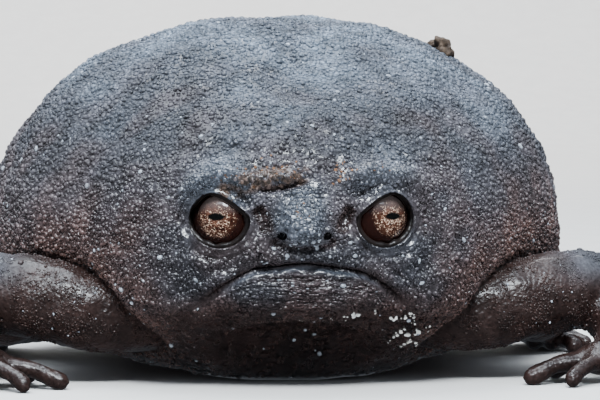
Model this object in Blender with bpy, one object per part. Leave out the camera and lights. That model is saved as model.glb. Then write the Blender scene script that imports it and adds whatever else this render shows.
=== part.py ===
"""Black rain frog, an adult female at life size, puffed up and resting on her belly.

The frog looks along -Y, her left side is +X and the floor is z = 0, with the origin in the middle of
the belly's flat. Sizes are in millimetres here and become metres when a mesh is made. The body is one
closed form, blended from a few rounded masses, which thin cuts part into head and torso. The legs are
swept tubes that meet the body and one another face to face.
"""

import math
from dataclasses import dataclass

import bmesh
import bpy
import numpy as np
from mathutils import Vector

MM = 0.001
GAP = 0.3
FLOOR_DEPTH = 12.0

# The puffed-up body.
BODY_HALF_WIDTH = 21.3
BODY_HALF_LENGTH = 21.0
BODY_TOP = 25.9
WIDEST_LEVEL = 9.3
BELLY_DROP = 9.9
BODY_MIDDLE = 2.5
HEART = np.array([0.0, 0.0, 9.4])

# The head.
HEAD_MIDDLE = -12.5
HEAD_FRONT = -21.3
NECK_POINT = Vector((0.0, -14.9, 11.6))
NECK_LEAN = math.radians(16)

# The eyes, each placed for the left side and mirrored.
EYE_CENTRE = np.array([4.95, -18.2, 11.6])
EYE_RADIUS = 2.5
ORBIT_RADIUS = 3.05
LID_RIM = 0.24
LID_RIM_SIDES = 6
APERTURE_CENTRE = (5.57, 11.66)
APERTURE_HALF_WIDTH = 2.04
APERTURE_HALF_HEIGHT = 1.95
APERTURE_SOFTNESS = 0.3
LID_LINE_HEIGHT = 1.74
LID_SLANT = 0.5
LID_CURVE = 0.13
APERTURE_STEPS = 24

# The mouth and the nostrils.
MOUTH_HALF_WIDTH = 7.4
MOUTH_LEVEL = 8.72
MOUTH_FLAT = 3.2
MOUTH_FALL = 0.76
MOUTH_BEND = 0.8
MOUTH_GROOVE = 0.3
MOUTH_STEPS = 23
NOSTRIL = (1.51, 10.59)
NOSTRIL_RADII = (0.34, 0.8, 0.29)

# How finely the solids are divided.
BODY_SIDES = 54
BODY_RINGS = 40
FIRST_RING = math.radians(1.6)
RING_GROWTH = 1.038
WELL_INSIDE = 1.0
WELL_OUTSIDE = 45.0
HALVINGS = 28
BEFORE_FACE = -30.0
FLOOR_SIDE = 60.0
DOME_ANGLES = (math.radians(70), math.radians(40))
DOME_RISE = 0.3
SHARP_ANGLE = math.radians(40)


@dataclass(frozen=True)
class Mass:
    """A rounded mass of the body, on the left side where it isn't in the middle."""

    centre: tuple
    half_width: float
    half_length: float
    rise: float
    drop: float
    blend: float = 2.0
    fullness: float = 2.0


TORSO = Mass(
    (0.0, BODY_MIDDLE, WIDEST_LEVEL),
    BODY_HALF_WIDTH,
    BODY_HALF_LENGTH,
    rise=BODY_TOP - WIDEST_LEVEL,
    drop=BELLY_DROP,
    fullness=2.18,
)
HEAD = Mass((0.0, HEAD_MIDDLE, 10.2), 12.8, HEAD_MIDDLE - HEAD_FRONT, rise=9.2, drop=7.3, blend=3.5, fullness=2.35)
CHEST = Mass((0.0, -8.9, 4.4), 11.5, 7.6, rise=3.6, drop=4.9, blend=2.0)
CHEEK = Mass((8.2, -14.4, 7.2), 3.6, 4.6, rise=3.4, drop=3.2, blend=2.2)
CHIN = Mass((0.0, -16.7, 6.9), 7.0, 4.9, rise=1.9, drop=2.2, blend=1.1)
UPPER_LIP = Mass((0.0, -16.9, 9.5), 6.6, 4.7, rise=2.0, drop=1.3, blend=1.0)
SNOUT = Mass((0.0, -19.2, 11.2), 2.9, 3.5, rise=2.6, drop=1.5, blend=1.3)
FOREHEAD = Mass((0.0, -15.6, 14.2), 6.0, 5.1, rise=4.2, drop=3.2, blend=2.6)
BROW = Mass((5.6, -17.0, 14.0), 3.3, 3.2, rise=1.9, drop=1.6, blend=1.2)
ORBIT = Mass(tuple(EYE_CENTRE), ORBIT_RADIUS, ORBIT_RADIUS, ORBIT_RADIUS, ORBIT_RADIUS, blend=0.8)
SHOULDER = Mass((12.2, -10.6, 5.6), 3.6, 3.0, rise=2.8, drop=2.8, blend=1.6)
HIP = Mass((13.6, 11.8, 6.0), 6.4, 6.8, rise=5.2, drop=4.4, blend=2.6)
MASSES = (TORSO, HEAD, CHEST, CHEEK, CHIN, UPPER_LIP, SNOUT, FOREHEAD, BROW, ORBIT, SHOULDER, HIP)
THROAT = Mass((0.0, -17.6, 2.2), 7.2, 4.4, rise=2.5, drop=3.4, blend=1.2)

# The legs of the left side: stations of x, y, z and radius, from the body outwards.
UPPER_ARM = ((8.6, -10.2, 4.6, 2.5), (13.2, -12.6, 4.9, 2.8), (18.0, -11.9, 5.9, 2.85), (21.8, -10.2, 6.2, 2.75))
FOREARM = ((22.0, -10.6, 5.6, 2.45), (23.0, -12.2, 4.4, 2.2), (22.9, -14.0, 3.0, 1.6), (22.4, -15.2, 2.2, 1.2))
THIGH = ((11.6, 9.8, 5.4, 4.2), (16.6, 8.0, 5.0, 3.9), (20.2, 4.8, 4.3, 3.1))
SHANK = ((20.4, 5.0, 3.9, 2.7), (21.3, 8.4, 3.1, 2.35), (20.6, 12.2, 2.2, 1.8), (20.6, 13.2, 1.9, 1.5))
LIMB_SIDES = 12
LIMB_STEPS = 3

# The hand and the foot: the middle and half sizes of a palm or sole, and digits as root, tip and radius.
PALM = ((21.6, -15.6, 1.75), (2.0, 1.9, 1.2))
FINGERS = (
    ((20.9, -14.6, 1.6), (18.4, -13.4, 0.5), 0.58),
    ((20.2, -15.2, 1.6), (16.7, -14.9, 0.5), 0.62),
    ((20.1, -16.0, 1.6), (16.2, -17.0, 0.5), 0.68),
    ((20.7, -16.9, 1.5), (18.6, -18.9, 0.5), 0.6),
)
SOLE = ((22.0, 12.6, 1.1), (1.6, 3.0, 1.2))
TOES = (
    ((21.1, 10.6, 0.8), (20.9, 8.4, 0.5), 0.56),
    ((21.7, 10.2, 0.8), (22.1, 7.2, 0.5), 0.58),
    ((22.4, 10.2, 0.85), (23.7, 6.3, 0.5), 0.66),
    ((23.0, 10.9, 0.8), (25.0, 8.4, 0.5), 0.6),
    ((23.3, 12.0, 0.75), (25.2, 10.8, 0.5), 0.54),
)
DIGIT_SIDES = 7
TIP_SWELL = 0.95
DIGIT_ARCH = 0.25

SKIN_BLACK = (0.020, 0.019, 0.022, 1.0)
SKIN_BROWN = (0.030, 0.017, 0.014, 1.0)
EYE_COPPER = (0.110, 0.035, 0.016, 1.0)


def clear_scene():
    """Removes what the scene starts with."""
    for item in list(bpy.data.objects):
        bpy.data.objects.remove(item)


def finish_of(name, colour, roughness):
    """A Principled material of one colour and roughness."""
    made = bpy.data.materials.new(name)
    made.use_nodes = True
    shader = made.node_tree.nodes["Principled BSDF"]
    shader.inputs["Base Color"].default_value = colour
    shader.inputs["Roughness"].default_value = roughness
    return made


def distance_to(mass, points):
    """How far points lie outside a mass, measured along the line to its centre."""
    offset = points - np.array(mass.centre)
    height = np.where(offset[:, 2] > 0, mass.rise, mass.drop)
    shares = np.stack([offset[:, 0] / mass.half_width, offset[:, 1] / mass.half_length, offset[:, 2] / height])
    share = (np.abs(shares) ** mass.fullness).sum(axis=0) ** (1 / mass.fullness)
    reach = np.linalg.norm(offset, axis=1)
    return reach - reach / np.maximum(share, 1e-6)


def blended(first, second, width):
    """The union of two distances, with a fillet of the given width."""
    share = np.clip(0.5 + 0.5 * (second - first) / width, 0, 1)
    return second * (1 - share) + first * share - width * share * (1 - share)


def body_distance(points):
    """The distance of points from the whole body, alike on both sides and hollow under the chin."""
    points = np.column_stack([np.abs(points[:, 0]), points[:, 1:]])
    total = distance_to(MASSES[0], points)
    for mass in MASSES[1:]:
        total = blended(total, distance_to(mass, points), mass.blend)
    return -blended(-total, distance_to(THROAT, points), THROAT.blend)


def crossing(start, direction, near, far, swell=0.0):
    """Where lines from start leave the body: near is inside it and far is outside."""
    near = np.full(len(direction), near)
    far = np.full(len(direction), far)
    for _ in range(HALVINGS):
        middle = (near + far) / 2
        inside = body_distance(start + direction * middle[:, None]) < swell
        near = np.where(inside, middle, near)
        far = np.where(inside, far, middle)
    return start + direction * near[:, None]


def front_point(x, z):
    """The point of the face at this x and z."""
    return crossing(np.array([[x, -10.0, z]]), np.array([[0.0, -1.0, 0.0]]), 0.0, 20.0)[0]


def mesh_object(name, points, faces):
    """A new object from points in millimetres, with its faces turned outwards."""
    mesh = bpy.data.meshes.new(name)
    mesh.from_pydata([tuple(p * MM for p in point) for point in points], [], faces)
    shell = bmesh.new()
    shell.from_mesh(mesh)
    bmesh.ops.recalc_face_normals(shell, faces=shell.faces)
    shell.to_mesh(mesh)
    shell.free()
    made = bpy.data.objects.new(name, mesh)
    bpy.context.collection.objects.link(made)
    return made


def ring_faces(rings, sides, closed=False):
    """Faces between rings of points, with a pole before the first ring and after the last unless closed."""
    faces = []
    spans = rings if closed else rings - 1
    for ring in range(spans):
        here = ring * sides
        there = (ring + 1) % rings * sides
        for side in range(sides):
            after = (side + 1) % sides
            faces.append((here + side, here + after, there + after, there + side))
    if not closed:
        first_pole, last_pole = rings * sides, rings * sides + 1
        last = (rings - 1) * sides
        for side in range(sides):
            after = (side + 1) % sides
            faces.append((first_pole, after, side))
            faces.append((last_pole, last + side, last + after))
    return faces


def body_form(name, swell=0.0):
    """The whole body as rings round the line from vent to nose, closest together on the face."""
    steps = FIRST_RING * RING_GROWTH ** np.arange(BODY_RINGS + 1)
    turns = np.cumsum(steps) * math.pi / steps.sum()
    around = np.arange(BODY_SIDES) * 2 * math.pi / BODY_SIDES
    directions = [
        (math.sin(turn) * math.cos(angle), -math.cos(turn), math.sin(turn) * math.sin(angle))
        for turn in turns[:-1]
        for angle in around
    ]
    directions += [(0.0, -1.0, 0.0), (0.0, 1.0, 0.0)]
    points = crossing(HEART, np.array(directions), WELL_INSIDE, WELL_OUTSIDE, swell)
    return mesh_object(name, points, ring_faces(BODY_RINGS, BODY_SIDES))


def boolean(target, tools, operation):
    """Joins or cuts target with the tools, which are used up."""
    shelf = bpy.data.collections.new("tools")
    bpy.context.scene.collection.children.link(shelf)
    for tool in tools:
        shelf.objects.link(tool)
    modifier = target.modifiers.new("join", "BOOLEAN")
    modifier.operand_type = "COLLECTION"
    modifier.collection = shelf
    modifier.operation = operation
    bpy.context.view_layer.update()
    result = bpy.data.meshes.new_from_object(target.evaluated_get(bpy.context.evaluated_depsgraph_get()))
    target.modifiers.clear()
    target.data = result
    for tool in tools:
        bpy.data.objects.remove(tool)
    bpy.data.collections.remove(shelf)
    keep_largest(target)
    return target


def keep_largest(target):
    """Leaves only the closed surface with the most volume."""
    shell = bmesh.new()
    shell.from_mesh(target.data)
    unseen, parts = set(shell.faces), []
    while unseen:
        part, edge = set(), [unseen.pop()]
        while edge:
            face = edge.pop()
            part.add(face)
            for side in face.edges:
                for other in side.link_faces:
                    if other in unseen:
                        unseen.remove(other)
                        edge.append(other)
        parts.append(part)
    parts.sort(key=lambda part: abs(sum(f.calc_area() * f.normal.dot(f.calc_center_median()) for f in part)))
    loose = [face for part in parts[:-1] for face in part]
    bmesh.ops.delete(shell, geom=loose, context="FACES")
    shell.to_mesh(target.data)
    shell.free()


def box(name, low, high):
    """A plain box, used to cut with."""
    points = [(x, y, z) for x in (low[0], high[0]) for y in (low[1], high[1]) for z in (low[2], high[2])]
    faces = [(0, 1, 3, 2), (4, 6, 7, 5), (0, 4, 5, 1), (2, 3, 7, 6), (0, 2, 6, 4), (1, 5, 7, 3)]
    return mesh_object(name, points, faces)


def flatten_on_floor(target):
    """Cuts off what would lie below the floor, which leaves a flat to rest on."""
    low, high = (-FLOOR_SIDE, -FLOOR_SIDE, -FLOOR_DEPTH), (FLOOR_SIDE, FLOOR_SIDE, 0.0)
    return boolean(target, [box("floor", low, high)], "DIFFERENCE")


def part_beyond(whole, name, point, direction):
    """A copy of the whole with only what lies beyond a plane through the point, facing the direction."""
    shell = bmesh.new()
    shell.from_mesh(whole.data)
    geometry = shell.verts[:] + shell.edges[:] + shell.faces[:]
    place = (point + direction.normalized() * GAP / 2) * MM
    bmesh.ops.bisect_plane(shell, geom=geometry, plane_co=place, plane_no=direction, clear_inner=True)
    open_edges = [edge for edge in shell.edges if edge.is_boundary]
    bmesh.ops.holes_fill(shell, edges=open_edges)
    bmesh.ops.triangulate(shell, faces=[face for face in shell.faces if len(face.verts) > 4])
    bmesh.ops.recalc_face_normals(shell, faces=shell.faces)
    mesh = bpy.data.meshes.new(name)
    shell.to_mesh(mesh)
    shell.free()
    made = bpy.data.objects.new(name, mesh)
    bpy.context.collection.objects.link(made)
    keep_largest(made)
    return made


def smooth_path(stations, steps):
    """Stations in between the given ones, on a curve through them."""
    given = [np.array(station) for station in stations]
    given = [2 * given[0] - given[1], *given, 2 * given[-1] - given[-2]]
    path = []
    for i in range(1, len(given) - 2):
        before, here, there, after = given[i - 1 : i + 3]
        for step in range(steps):
            t = step / steps
            path.append(
                here
                + 0.5 * t * (there - before)
                + t * t * (before - 2.5 * here + 2 * there - 0.5 * after)
                + t**3 * 0.5 * (3 * here - before - 3 * there + after)
            )
    path.append(given[-2])
    return path


def rounded_path(path):
    """The path with a dome at each end."""

    def dome(end, inner):
        outward = (end - inner)[:3]
        outward /= np.linalg.norm(outward)
        return [
            np.append(end[:3] + outward * end[3] * math.sin(angle), end[3] * math.cos(angle))
            for angle in DOME_ANGLES
        ]

    return [*dome(path[0], path[1]), *path, *reversed(dome(path[-1], path[-2]))]


def tube(name, path, sides, swell=0.0):
    """A closed skin round a path of stations, each x, y, z and radius."""
    path = rounded_path([station + np.array([0.0, 0.0, 0.0, swell]) for station in path])
    points = []
    for i, station in enumerate(path):
        along = Vector((path[min(i + 1, len(path) - 1)] - path[max(i - 1, 0)])[:3]).normalized()
        across = along.cross(Vector((0, 0, 1))).normalized()
        over = across.cross(along)
        for side in range(sides):
            angle = 2 * math.pi * side / sides
            offset = (across * math.cos(angle) + over * math.sin(angle)) * station[3]
            points.append(Vector(station[:3]) + offset)
    for end, inner in ((path[0], path[1]), (path[-1], path[-2])):
        outward = Vector((end - inner)[:3]).normalized()
        points.append(Vector(end[:3]) + outward * end[3] * DOME_RISE)
    return mesh_object(name, points, ring_faces(len(path), sides))


def ellipsoid(name, centre, radii, sides=12):
    """A closed ellipsoid."""
    rings = sides // 2
    points = []
    for ring in range(rings):
        turn = math.pi * (ring + 1) / (rings + 1)
        for side in range(sides):
            angle = 2 * math.pi * side / sides
            unit = (math.sin(turn) * math.cos(angle), math.sin(turn) * math.sin(angle), math.cos(turn))
            points.append([c + r * u for c, r, u in zip(centre, radii, unit)])
    points += [(centre[0], centre[1], centre[2] + s * radii[2]) for s in (1, -1)]
    return mesh_object(name, points, ring_faces(rings, sides))


def digit(name, root, tip, radius):
    """A short finger or toe with a rounded, slightly swollen tip."""
    root, tip = np.array(root), np.array(tip)
    middle = (root + tip) / 2 + np.array([0.0, 0.0, DIGIT_ARCH])
    waist = radius * 0.85
    path = [np.append(root, radius), np.append(middle, waist), np.append(tip, radius * TIP_SWELL)]
    return tube(name, smooth_path(path, 2), DIGIT_SIDES)


def mirrored(source, name):
    """The same piece on the right side."""
    mesh = source.data.copy()
    mesh.name = name
    for vertex in mesh.vertices:
        vertex.co.x = -vertex.co.x
    mesh.flip_normals()
    made = bpy.data.objects.new(name, mesh)
    bpy.context.collection.objects.link(made)
    return made


def aperture(count):
    """The opening between the lids of the left eye, as x and z seen from the front."""
    outline = []
    for i in range(count):
        angle = 2 * math.pi * i / count
        out = APERTURE_HALF_WIDTH * math.cos(angle)
        up = APERTURE_HALF_HEIGHT * math.sin(angle)
        over = up - (LID_LINE_HEIGHT + LID_SLANT * out - LID_CURVE * out * out)
        up -= 0.5 * (over + math.sqrt(over * over + APERTURE_SOFTNESS**2))
        outline.append((APERTURE_CENTRE[0] + out, APERTURE_CENTRE[1] + up))
    return outline


def lid_edge(name):
    """The rim of both lids of the left eye, a thin ring on the skin over the eyeball."""
    reach = ORBIT_RADIUS - LID_RIM / 2
    centre = Vector(EYE_CENTRE)
    spine = []
    for x, z in aperture(APERTURE_STEPS):
        across, up = x - centre.x, z - centre.z
        spine.append(centre + Vector((across, -math.sqrt(reach * reach - across * across - up * up), up)))
    points = []
    for i, point in enumerate(spine):
        along = (spine[(i + 1) % len(spine)] - spine[i - 1]).normalized()
        outward = (point - centre).normalized()
        beside = along.cross(outward).normalized()
        for side in range(LID_RIM_SIDES):
            angle = 2 * math.pi * side / LID_RIM_SIDES
            points.append(point + (outward * math.cos(angle) + beside * math.sin(angle)) * LID_RIM)
    return mesh_object(name, points, ring_faces(len(spine), LID_RIM_SIDES, closed=True))


def lid_opening(name):
    """A prism through the opening between the lids of the left eye, to the middle of the eyeball."""
    outline = aperture(APERTURE_STEPS)
    ends = (EYE_CENTRE[1], BEFORE_FACE)
    points = [(x, y, z) for y in ends for x, z in outline]
    points += [(APERTURE_CENTRE[0], y, APERTURE_CENTRE[1]) for y in ends]
    return mesh_object(name, points, ring_faces(2, len(outline)))


def mouth_line(x):
    """The height of the line between the lips, level in the middle and falling to its corners."""
    past = abs(x) - MOUTH_FLAT
    return MOUTH_LEVEL - MOUTH_FALL * 0.5 * (past + math.sqrt(past * past + MOUTH_BEND))


def mouth_cutter(name):
    """A tube along the line of the mouth, which cuts the groove between the lips."""
    path = []
    for i in range(MOUTH_STEPS):
        share = 2 * i / (MOUTH_STEPS - 1) - 1
        x = share * MOUTH_HALF_WIDTH
        point = front_point(x, mouth_line(x))
        point[1] -= MOUTH_GROOVE * 0.2
        path.append(np.append(point, MOUTH_GROOVE * (1 - 0.45 * share**6)))
    return tube(name, path, 6)


def eyeball(side_name, sign):
    """One eyeball, a plain ball in its socket."""
    x, y, z = EYE_CENTRE * MM
    bpy.ops.mesh.primitive_uv_sphere_add(
        segments=18, ring_count=12, radius=EYE_RADIUS * MM, location=(sign * x, y, z)
    )
    made = bpy.context.object
    made.name = f"eye_{side_name}"
    bpy.ops.object.transform_apply(location=True, rotation=False, scale=False)
    return made


def neck_plane(forward):
    """The cut between head and torso, as a point and the direction that is kept."""
    sign = -1.0 if forward else 1.0
    return NECK_POINT, Vector((0.0, sign * math.cos(NECK_LEAN), -sign * math.sin(NECK_LEAN)))


def head_and_torso():
    """The body, parted in front of the arms into head and torso."""
    body = flatten_on_floor(body_form("body"))
    torso = part_beyond(body, "torso", *neck_plane(forward=False))
    head = part_beyond(body, "head", *neck_plane(forward=True))
    bpy.data.objects.remove(body)
    x, z = NOSTRIL
    nostril = ellipsoid("nostril", (x, front_point(x, z)[1], z), NOSTRIL_RADII, sides=10)
    socket = ellipsoid("socket", EYE_CENTRE, [EYE_RADIUS + GAP] * 3, sides=20)
    opening = lid_opening("opening")
    left_cutters = [nostril, opening]
    right_cutters = [mirrored(piece, f"{piece.name}_right") for piece in left_cutters]
    boolean(head, [*left_cutters, *right_cutters, mouth_cutter("mouth")], "DIFFERENCE")
    edge = lid_edge("edge")
    boolean(head, [edge, mirrored(edge, "edge_right")], "UNION")
    boolean(head, [socket, mirrored(socket, "socket_right")], "DIFFERENCE")
    return head, torso


def limb(upper_stations, lower_stations, end, digits, names):
    """The three nodes of one leg of the left side, each cut clear of those it grows from, and their mirrors."""
    paths = [smooth_path(stations, LIMB_STEPS) for stations in (upper_stations, lower_stations)]
    upper, lower = (tube(f"{name}_left", path, LIMB_SIDES) for name, path in zip(names, paths))
    last = ellipsoid(f"{names[2]}_left", *end)
    boolean(last, [digit(f"digit_{i}", *sizes) for i, sizes in enumerate(digits)], "UNION")
    for piece, roots in ((upper, ()), (lower, paths[:1]), (last, paths)):
        clearances = [tube("root", path, LIMB_SIDES, swell=GAP) for path in roots]
        boolean(piece, [body_form("body_clearance", swell=GAP), *clearances], "DIFFERENCE")
        flatten_on_floor(piece)
    left = [upper, lower, last]
    return left + [mirrored(piece, f"{name}_right") for piece, name in zip(left, names)]


def main():
    """Builds the frog."""
    clear_scene()
    black = finish_of("granular_skin", SKIN_BLACK, 0.42)
    brown = finish_of("smooth_skin", SKIN_BROWN, 0.36)
    copper = finish_of("eye", EYE_COPPER, 0.08)
    for piece in head_and_torso():
        piece.data.materials.append(black)
    for side_name, sign in (("left", 1), ("right", -1)):
        eyeball(side_name, sign).data.materials.append(copper)
    arms = limb(UPPER_ARM, FOREARM, PALM, FINGERS, ("upper_arm", "forearm", "hand"))
    legs = limb(THIGH, SHANK, SOLE, TOES, ("thigh", "shank", "foot"))
    for piece in arms + legs:
        piece.data.materials.append(brown)
    for item in bpy.context.scene.objects:
        item.data.shade_smooth()
        item.data.set_sharp_from_angle(angle=SHARP_ANGLE)


main()
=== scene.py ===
"""Looks of a black rain frog at life size, puffed up and resting on her belly.

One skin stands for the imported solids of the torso, head and legs, so that no seam shows, and a finer
eyeball stands for each packed one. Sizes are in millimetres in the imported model's frame: she looks
along -Y, her left side is +X and the floor is z = 0. Meshes are made in metres.
"""

import logging
import math
from collections.abc import Callable
from dataclasses import dataclass
from enum import Enum

import bpy
import numpy as np
from mathutils import Matrix, Vector
from mathutils.kdtree import KDTree


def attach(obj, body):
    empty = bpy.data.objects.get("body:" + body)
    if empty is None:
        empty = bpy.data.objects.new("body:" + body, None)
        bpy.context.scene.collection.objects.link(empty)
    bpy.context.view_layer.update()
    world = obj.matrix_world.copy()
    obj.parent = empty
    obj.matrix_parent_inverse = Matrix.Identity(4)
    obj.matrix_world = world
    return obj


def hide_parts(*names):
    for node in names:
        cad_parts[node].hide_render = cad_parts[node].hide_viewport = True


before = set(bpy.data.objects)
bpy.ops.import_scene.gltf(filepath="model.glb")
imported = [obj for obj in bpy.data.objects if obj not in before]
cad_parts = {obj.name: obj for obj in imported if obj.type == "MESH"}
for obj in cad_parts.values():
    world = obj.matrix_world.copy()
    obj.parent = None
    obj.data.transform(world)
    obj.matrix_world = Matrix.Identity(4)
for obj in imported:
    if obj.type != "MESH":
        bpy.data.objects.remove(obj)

MM = 0.001
ROOT = "root"
PATCH = 0.003
IN_FRONT = -0.05
LIMB_NODES = ("upper_arm", "forearm", "hand", "thigh", "shank", "foot")
log = logging.getLogger("black_rain_frog")

Array = np.ndarray
Pair = tuple[float, float]
Triple = tuple[float, float, float]
Piece = bpy.types.Object
Socket = bpy.types.NodeSocket


class Side(Enum):
    """The two sides of the frog, each with the sign of its x."""

    LEFT = 1
    RIGHT = -1

    @property
    def label(self) -> str:
        """The side's name as pieces and nodes carry it."""
        return self.name.lower()


class Join(Enum):
    """What a Boolean does with its tools."""

    ADD = "UNION"
    CUT = "DIFFERENCE"


# Small tools for meshes


def only(*pieces: Piece) -> None:
    """Selects these pieces and nothing else, and makes the first one active.

    Args:
        pieces: the objects to work on.
    """
    bpy.ops.object.select_all(action="DESELECT")
    for piece in pieces:
        piece.select_set(True)
    bpy.context.view_layer.objects.active = pieces[0]


def apply_modifiers(piece: Piece) -> None:
    """Applies every modifier of a piece, in order.

    Args:
        piece: the object whose modifiers are live.
    """
    only(piece)
    for modifier in list(piece.modifiers):
        bpy.ops.object.modifier_apply(modifier=modifier.name)


def named(name: str) -> Piece:
    """Names the object that was just added, and its mesh.

    Args:
        name: the piece's name.

    Returns:
        The object.
    """
    piece = bpy.context.object
    piece.name = name
    piece.data.name = name
    return piece


def added(name: str, primitive: Callable[..., set[str]], **sizes: object) -> Piece:
    """Adds a primitive with nothing else selected.

    Args:
        name: the piece's name.
        primitive: the operator that adds it.
        sizes: what the operator is given.

    Returns:
        The new object.
    """
    bpy.ops.object.select_all(action="DESELECT")
    primitive(**sizes)
    return named(name)


def joined(name: str, pieces: list[Piece]) -> Piece:
    """Joins pieces into one.

    Args:
        name: the name of what they become.
        pieces: the objects, all used up.

    Returns:
        The joined object.
    """
    only(*pieces)
    bpy.ops.object.join()
    return named(name)


def points_of(piece: Piece) -> Array:
    """The piece's points in millimetres, one row each.

    Args:
        piece: a mesh object at the origin.

    Returns:
        An array of n rows of x, y and z.
    """
    values = np.empty(len(piece.data.vertices) * 3)
    piece.data.vertices.foreach_get("co", values)
    return values.reshape(-1, 3) / MM


def move_points(piece: Piece, points: Array) -> None:
    """Moves the piece's points."""
    piece.data.vertices.foreach_set("co", (points * MM).ravel())
    piece.data.update()


def normals_of(piece: Piece) -> Array:
    """The direction in which the surface faces at each point.

    Args:
        piece: a mesh object.

    Returns:
        An array of n unit rows.
    """
    values = np.empty(len(piece.data.vertices) * 3)
    piece.data.vertex_normals.foreach_get("vector", values)
    return values.reshape(-1, 3)


def boolean(target: Piece, tools: list[Piece], join: Join) -> None:
    """Adds the tools to the target, or cuts it with them, and removes them.

    Args:
        target: the closed mesh to change.
        tools: closed meshes.
        join: whether they are added or cut away.
    """
    shelf = bpy.data.collections.new("tools")
    bpy.context.scene.collection.children.link(shelf)
    for tool in tools:
        shelf.objects.link(tool)
    modifier = target.modifiers.new("join", "BOOLEAN")
    modifier.operand_type = "COLLECTION"
    modifier.collection = shelf
    modifier.operation = join.value
    modifier.solver = "MANIFOLD"
    apply_modifiers(target)
    for tool in tools:
        bpy.data.objects.remove(tool)
    bpy.data.collections.remove(shelf)


def mesh_piece(name: str, points: Array, faces: Array) -> Piece:
    """A piece made from arrays, for what holds thousands of small shapes.

    Args:
        name: the piece's name.
        points: places in millimetres.
        faces: rows of point numbers, turned outwards.

    Returns:
        The new object, shaded smooth.
    """
    mesh = bpy.data.meshes.new(name)
    mesh.from_pydata(points * MM, [], faces)
    mesh.shade_smooth()
    piece = bpy.data.objects.new(name, mesh)
    bpy.context.collection.objects.link(piece)
    return piece


def write_shares(piece: Piece, name: str, values: Array) -> None:
    """Keeps one number for each point, which the finishes read by name."""
    layer = piece.data.attributes.new(name, "FLOAT", "POINT")
    layer.data.foreach_set("value", values.astype(np.float32))


def prism(name: str, outline: Array, back: float, front: float) -> Piece:
    """A closed prism along Y, used to cut.

    Args:
        name: the piece's name.
        outline: x and z of its corners, in order.
        back: y of its rear end.
        front: y of its front end.

    Returns:
        The new object.
    """
    piece = added(name, bpy.ops.mesh.primitive_circle_add, vertices=len(outline), radius=1, fill_type="NGON")
    corners = np.column_stack([outline[:, 0], np.full(len(outline), back), outline[:, 1]])
    move_points(piece, corners)
    bpy.ops.object.mode_set(mode="EDIT")
    bpy.ops.mesh.select_all(action="SELECT")
    bpy.ops.mesh.extrude_region_move(TRANSFORM_OT_translate={"value": (0, (front - back) * MM, 0)})
    bpy.ops.mesh.select_all(action="SELECT")
    bpy.ops.mesh.quads_convert_to_tris()
    bpy.ops.mesh.normals_make_consistent(inside=False)
    bpy.ops.object.mode_set(mode="OBJECT")
    return piece


def ball(name: str, centre: Triple, radii: Triple, sides: int, rings: int) -> Piece:
    """A ball or egg with its place in its mesh.

    Args:
        name: the piece's name.
        centre: its middle.
        radii: its half sizes along x, y and z.
        sides: faces round it.
        rings: faces from pole to pole.

    Returns:
        The new object.
    """
    piece = added(
        name,
        bpy.ops.mesh.primitive_uv_sphere_add,
        segments=sides,
        ring_count=rings,
        radius=1,
        location=[c * MM for c in centre],
        scale=[r * MM for r in radii],
    )
    bpy.ops.object.transform_apply(location=True, rotation=True, scale=True)
    return piece


def mirrored(piece: Piece, name: str) -> Piece:
    """A copy of a piece on the other side.

    Args:
        piece: the piece of one side.
        name: the copy's name.

    Returns:
        The copy, with its faces turned outwards.
    """
    copy = piece.copy()
    copy.data = piece.data.copy()
    copy.name = name
    copy.data.name = name
    bpy.context.collection.objects.link(copy)
    move_points(copy, points_of(copy) * np.array([-1.0, 1.0, 1.0]))
    copy.data.flip_normals()
    return copy


def waves(points: Array, length: float, seed: int, count: int = 20) -> Array:
    """Soft, uneven undulation between about -1 and 1.

    Args:
        points: places in millimetres.
        length: the usual distance from crest to crest.
        seed: which undulation.
        count: how many plane waves are added.

    Returns:
        One height for each point.
    """
    chance = np.random.default_rng(seed)
    way = unit_rows(chance.normal(size=(count, 3)))
    pace = 2 * math.pi / (length * chance.uniform(0.65, 1.5, count))
    phase = chance.uniform(0, 2 * math.pi, count)
    return np.sin(points @ (way * pace[:, None]).T + phase).sum(axis=1) / math.sqrt(count)


def ramp(values: Array, low: float, high: float) -> Array:
    """A smooth rise from 0 at low to 1 at high."""
    share = np.clip((values - low) / (high - low), 0, 1)
    return share * share * (3 - 2 * share)


def unit_rows(rows: Array) -> Array:
    """The same directions, each one unit long."""
    return rows / np.linalg.norm(rows, axis=1)[:, None]


def round_angles(count: int) -> Array:
    """Evenly spaced angles once round, from 0."""
    return np.arange(count) * 2 * math.pi / count


def blended(first: Array, second: Array, blend: float) -> Array:
    """The smaller of two distances, rounded where they are nearly equal.

    Args:
        first: distances from one mass.
        second: distances from another.
        blend: the width of the rounding.

    Returns:
        One distance for each pair.
    """
    share = np.clip(0.5 + 0.5 * (second - first) / blend, 0, 1)
    return second * (1 - share) + first * share - blend * share * (1 - share)


# The body's form


@dataclass(frozen=True)
class Mass:
    """A rounded mass of the body, on the left side where it isn't in the middle."""

    centre: Triple
    half_width: float
    half_length: float
    rise: float
    drop: float
    blend: float = 2.0
    fullness: float = 2.0

    def distance(self, points: Array) -> Array:
        """How far points lie outside the mass, along the line to its centre.

        Args:
            points: places in millimetres.

        Returns:
            Distances, below zero inside.
        """
        offset = points - np.array(self.centre)
        height = np.where(offset[:, 2] > 0, self.rise, self.drop)
        across, along, up = offset.T
        shares = np.stack([across / self.half_width, along / self.half_length, up / height])
        share = (np.abs(shares) ** self.fullness).sum(axis=0) ** (1 / self.fullness)
        reach = np.linalg.norm(offset, axis=1)
        return reach - reach / np.maximum(share, 1e-6)


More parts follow.
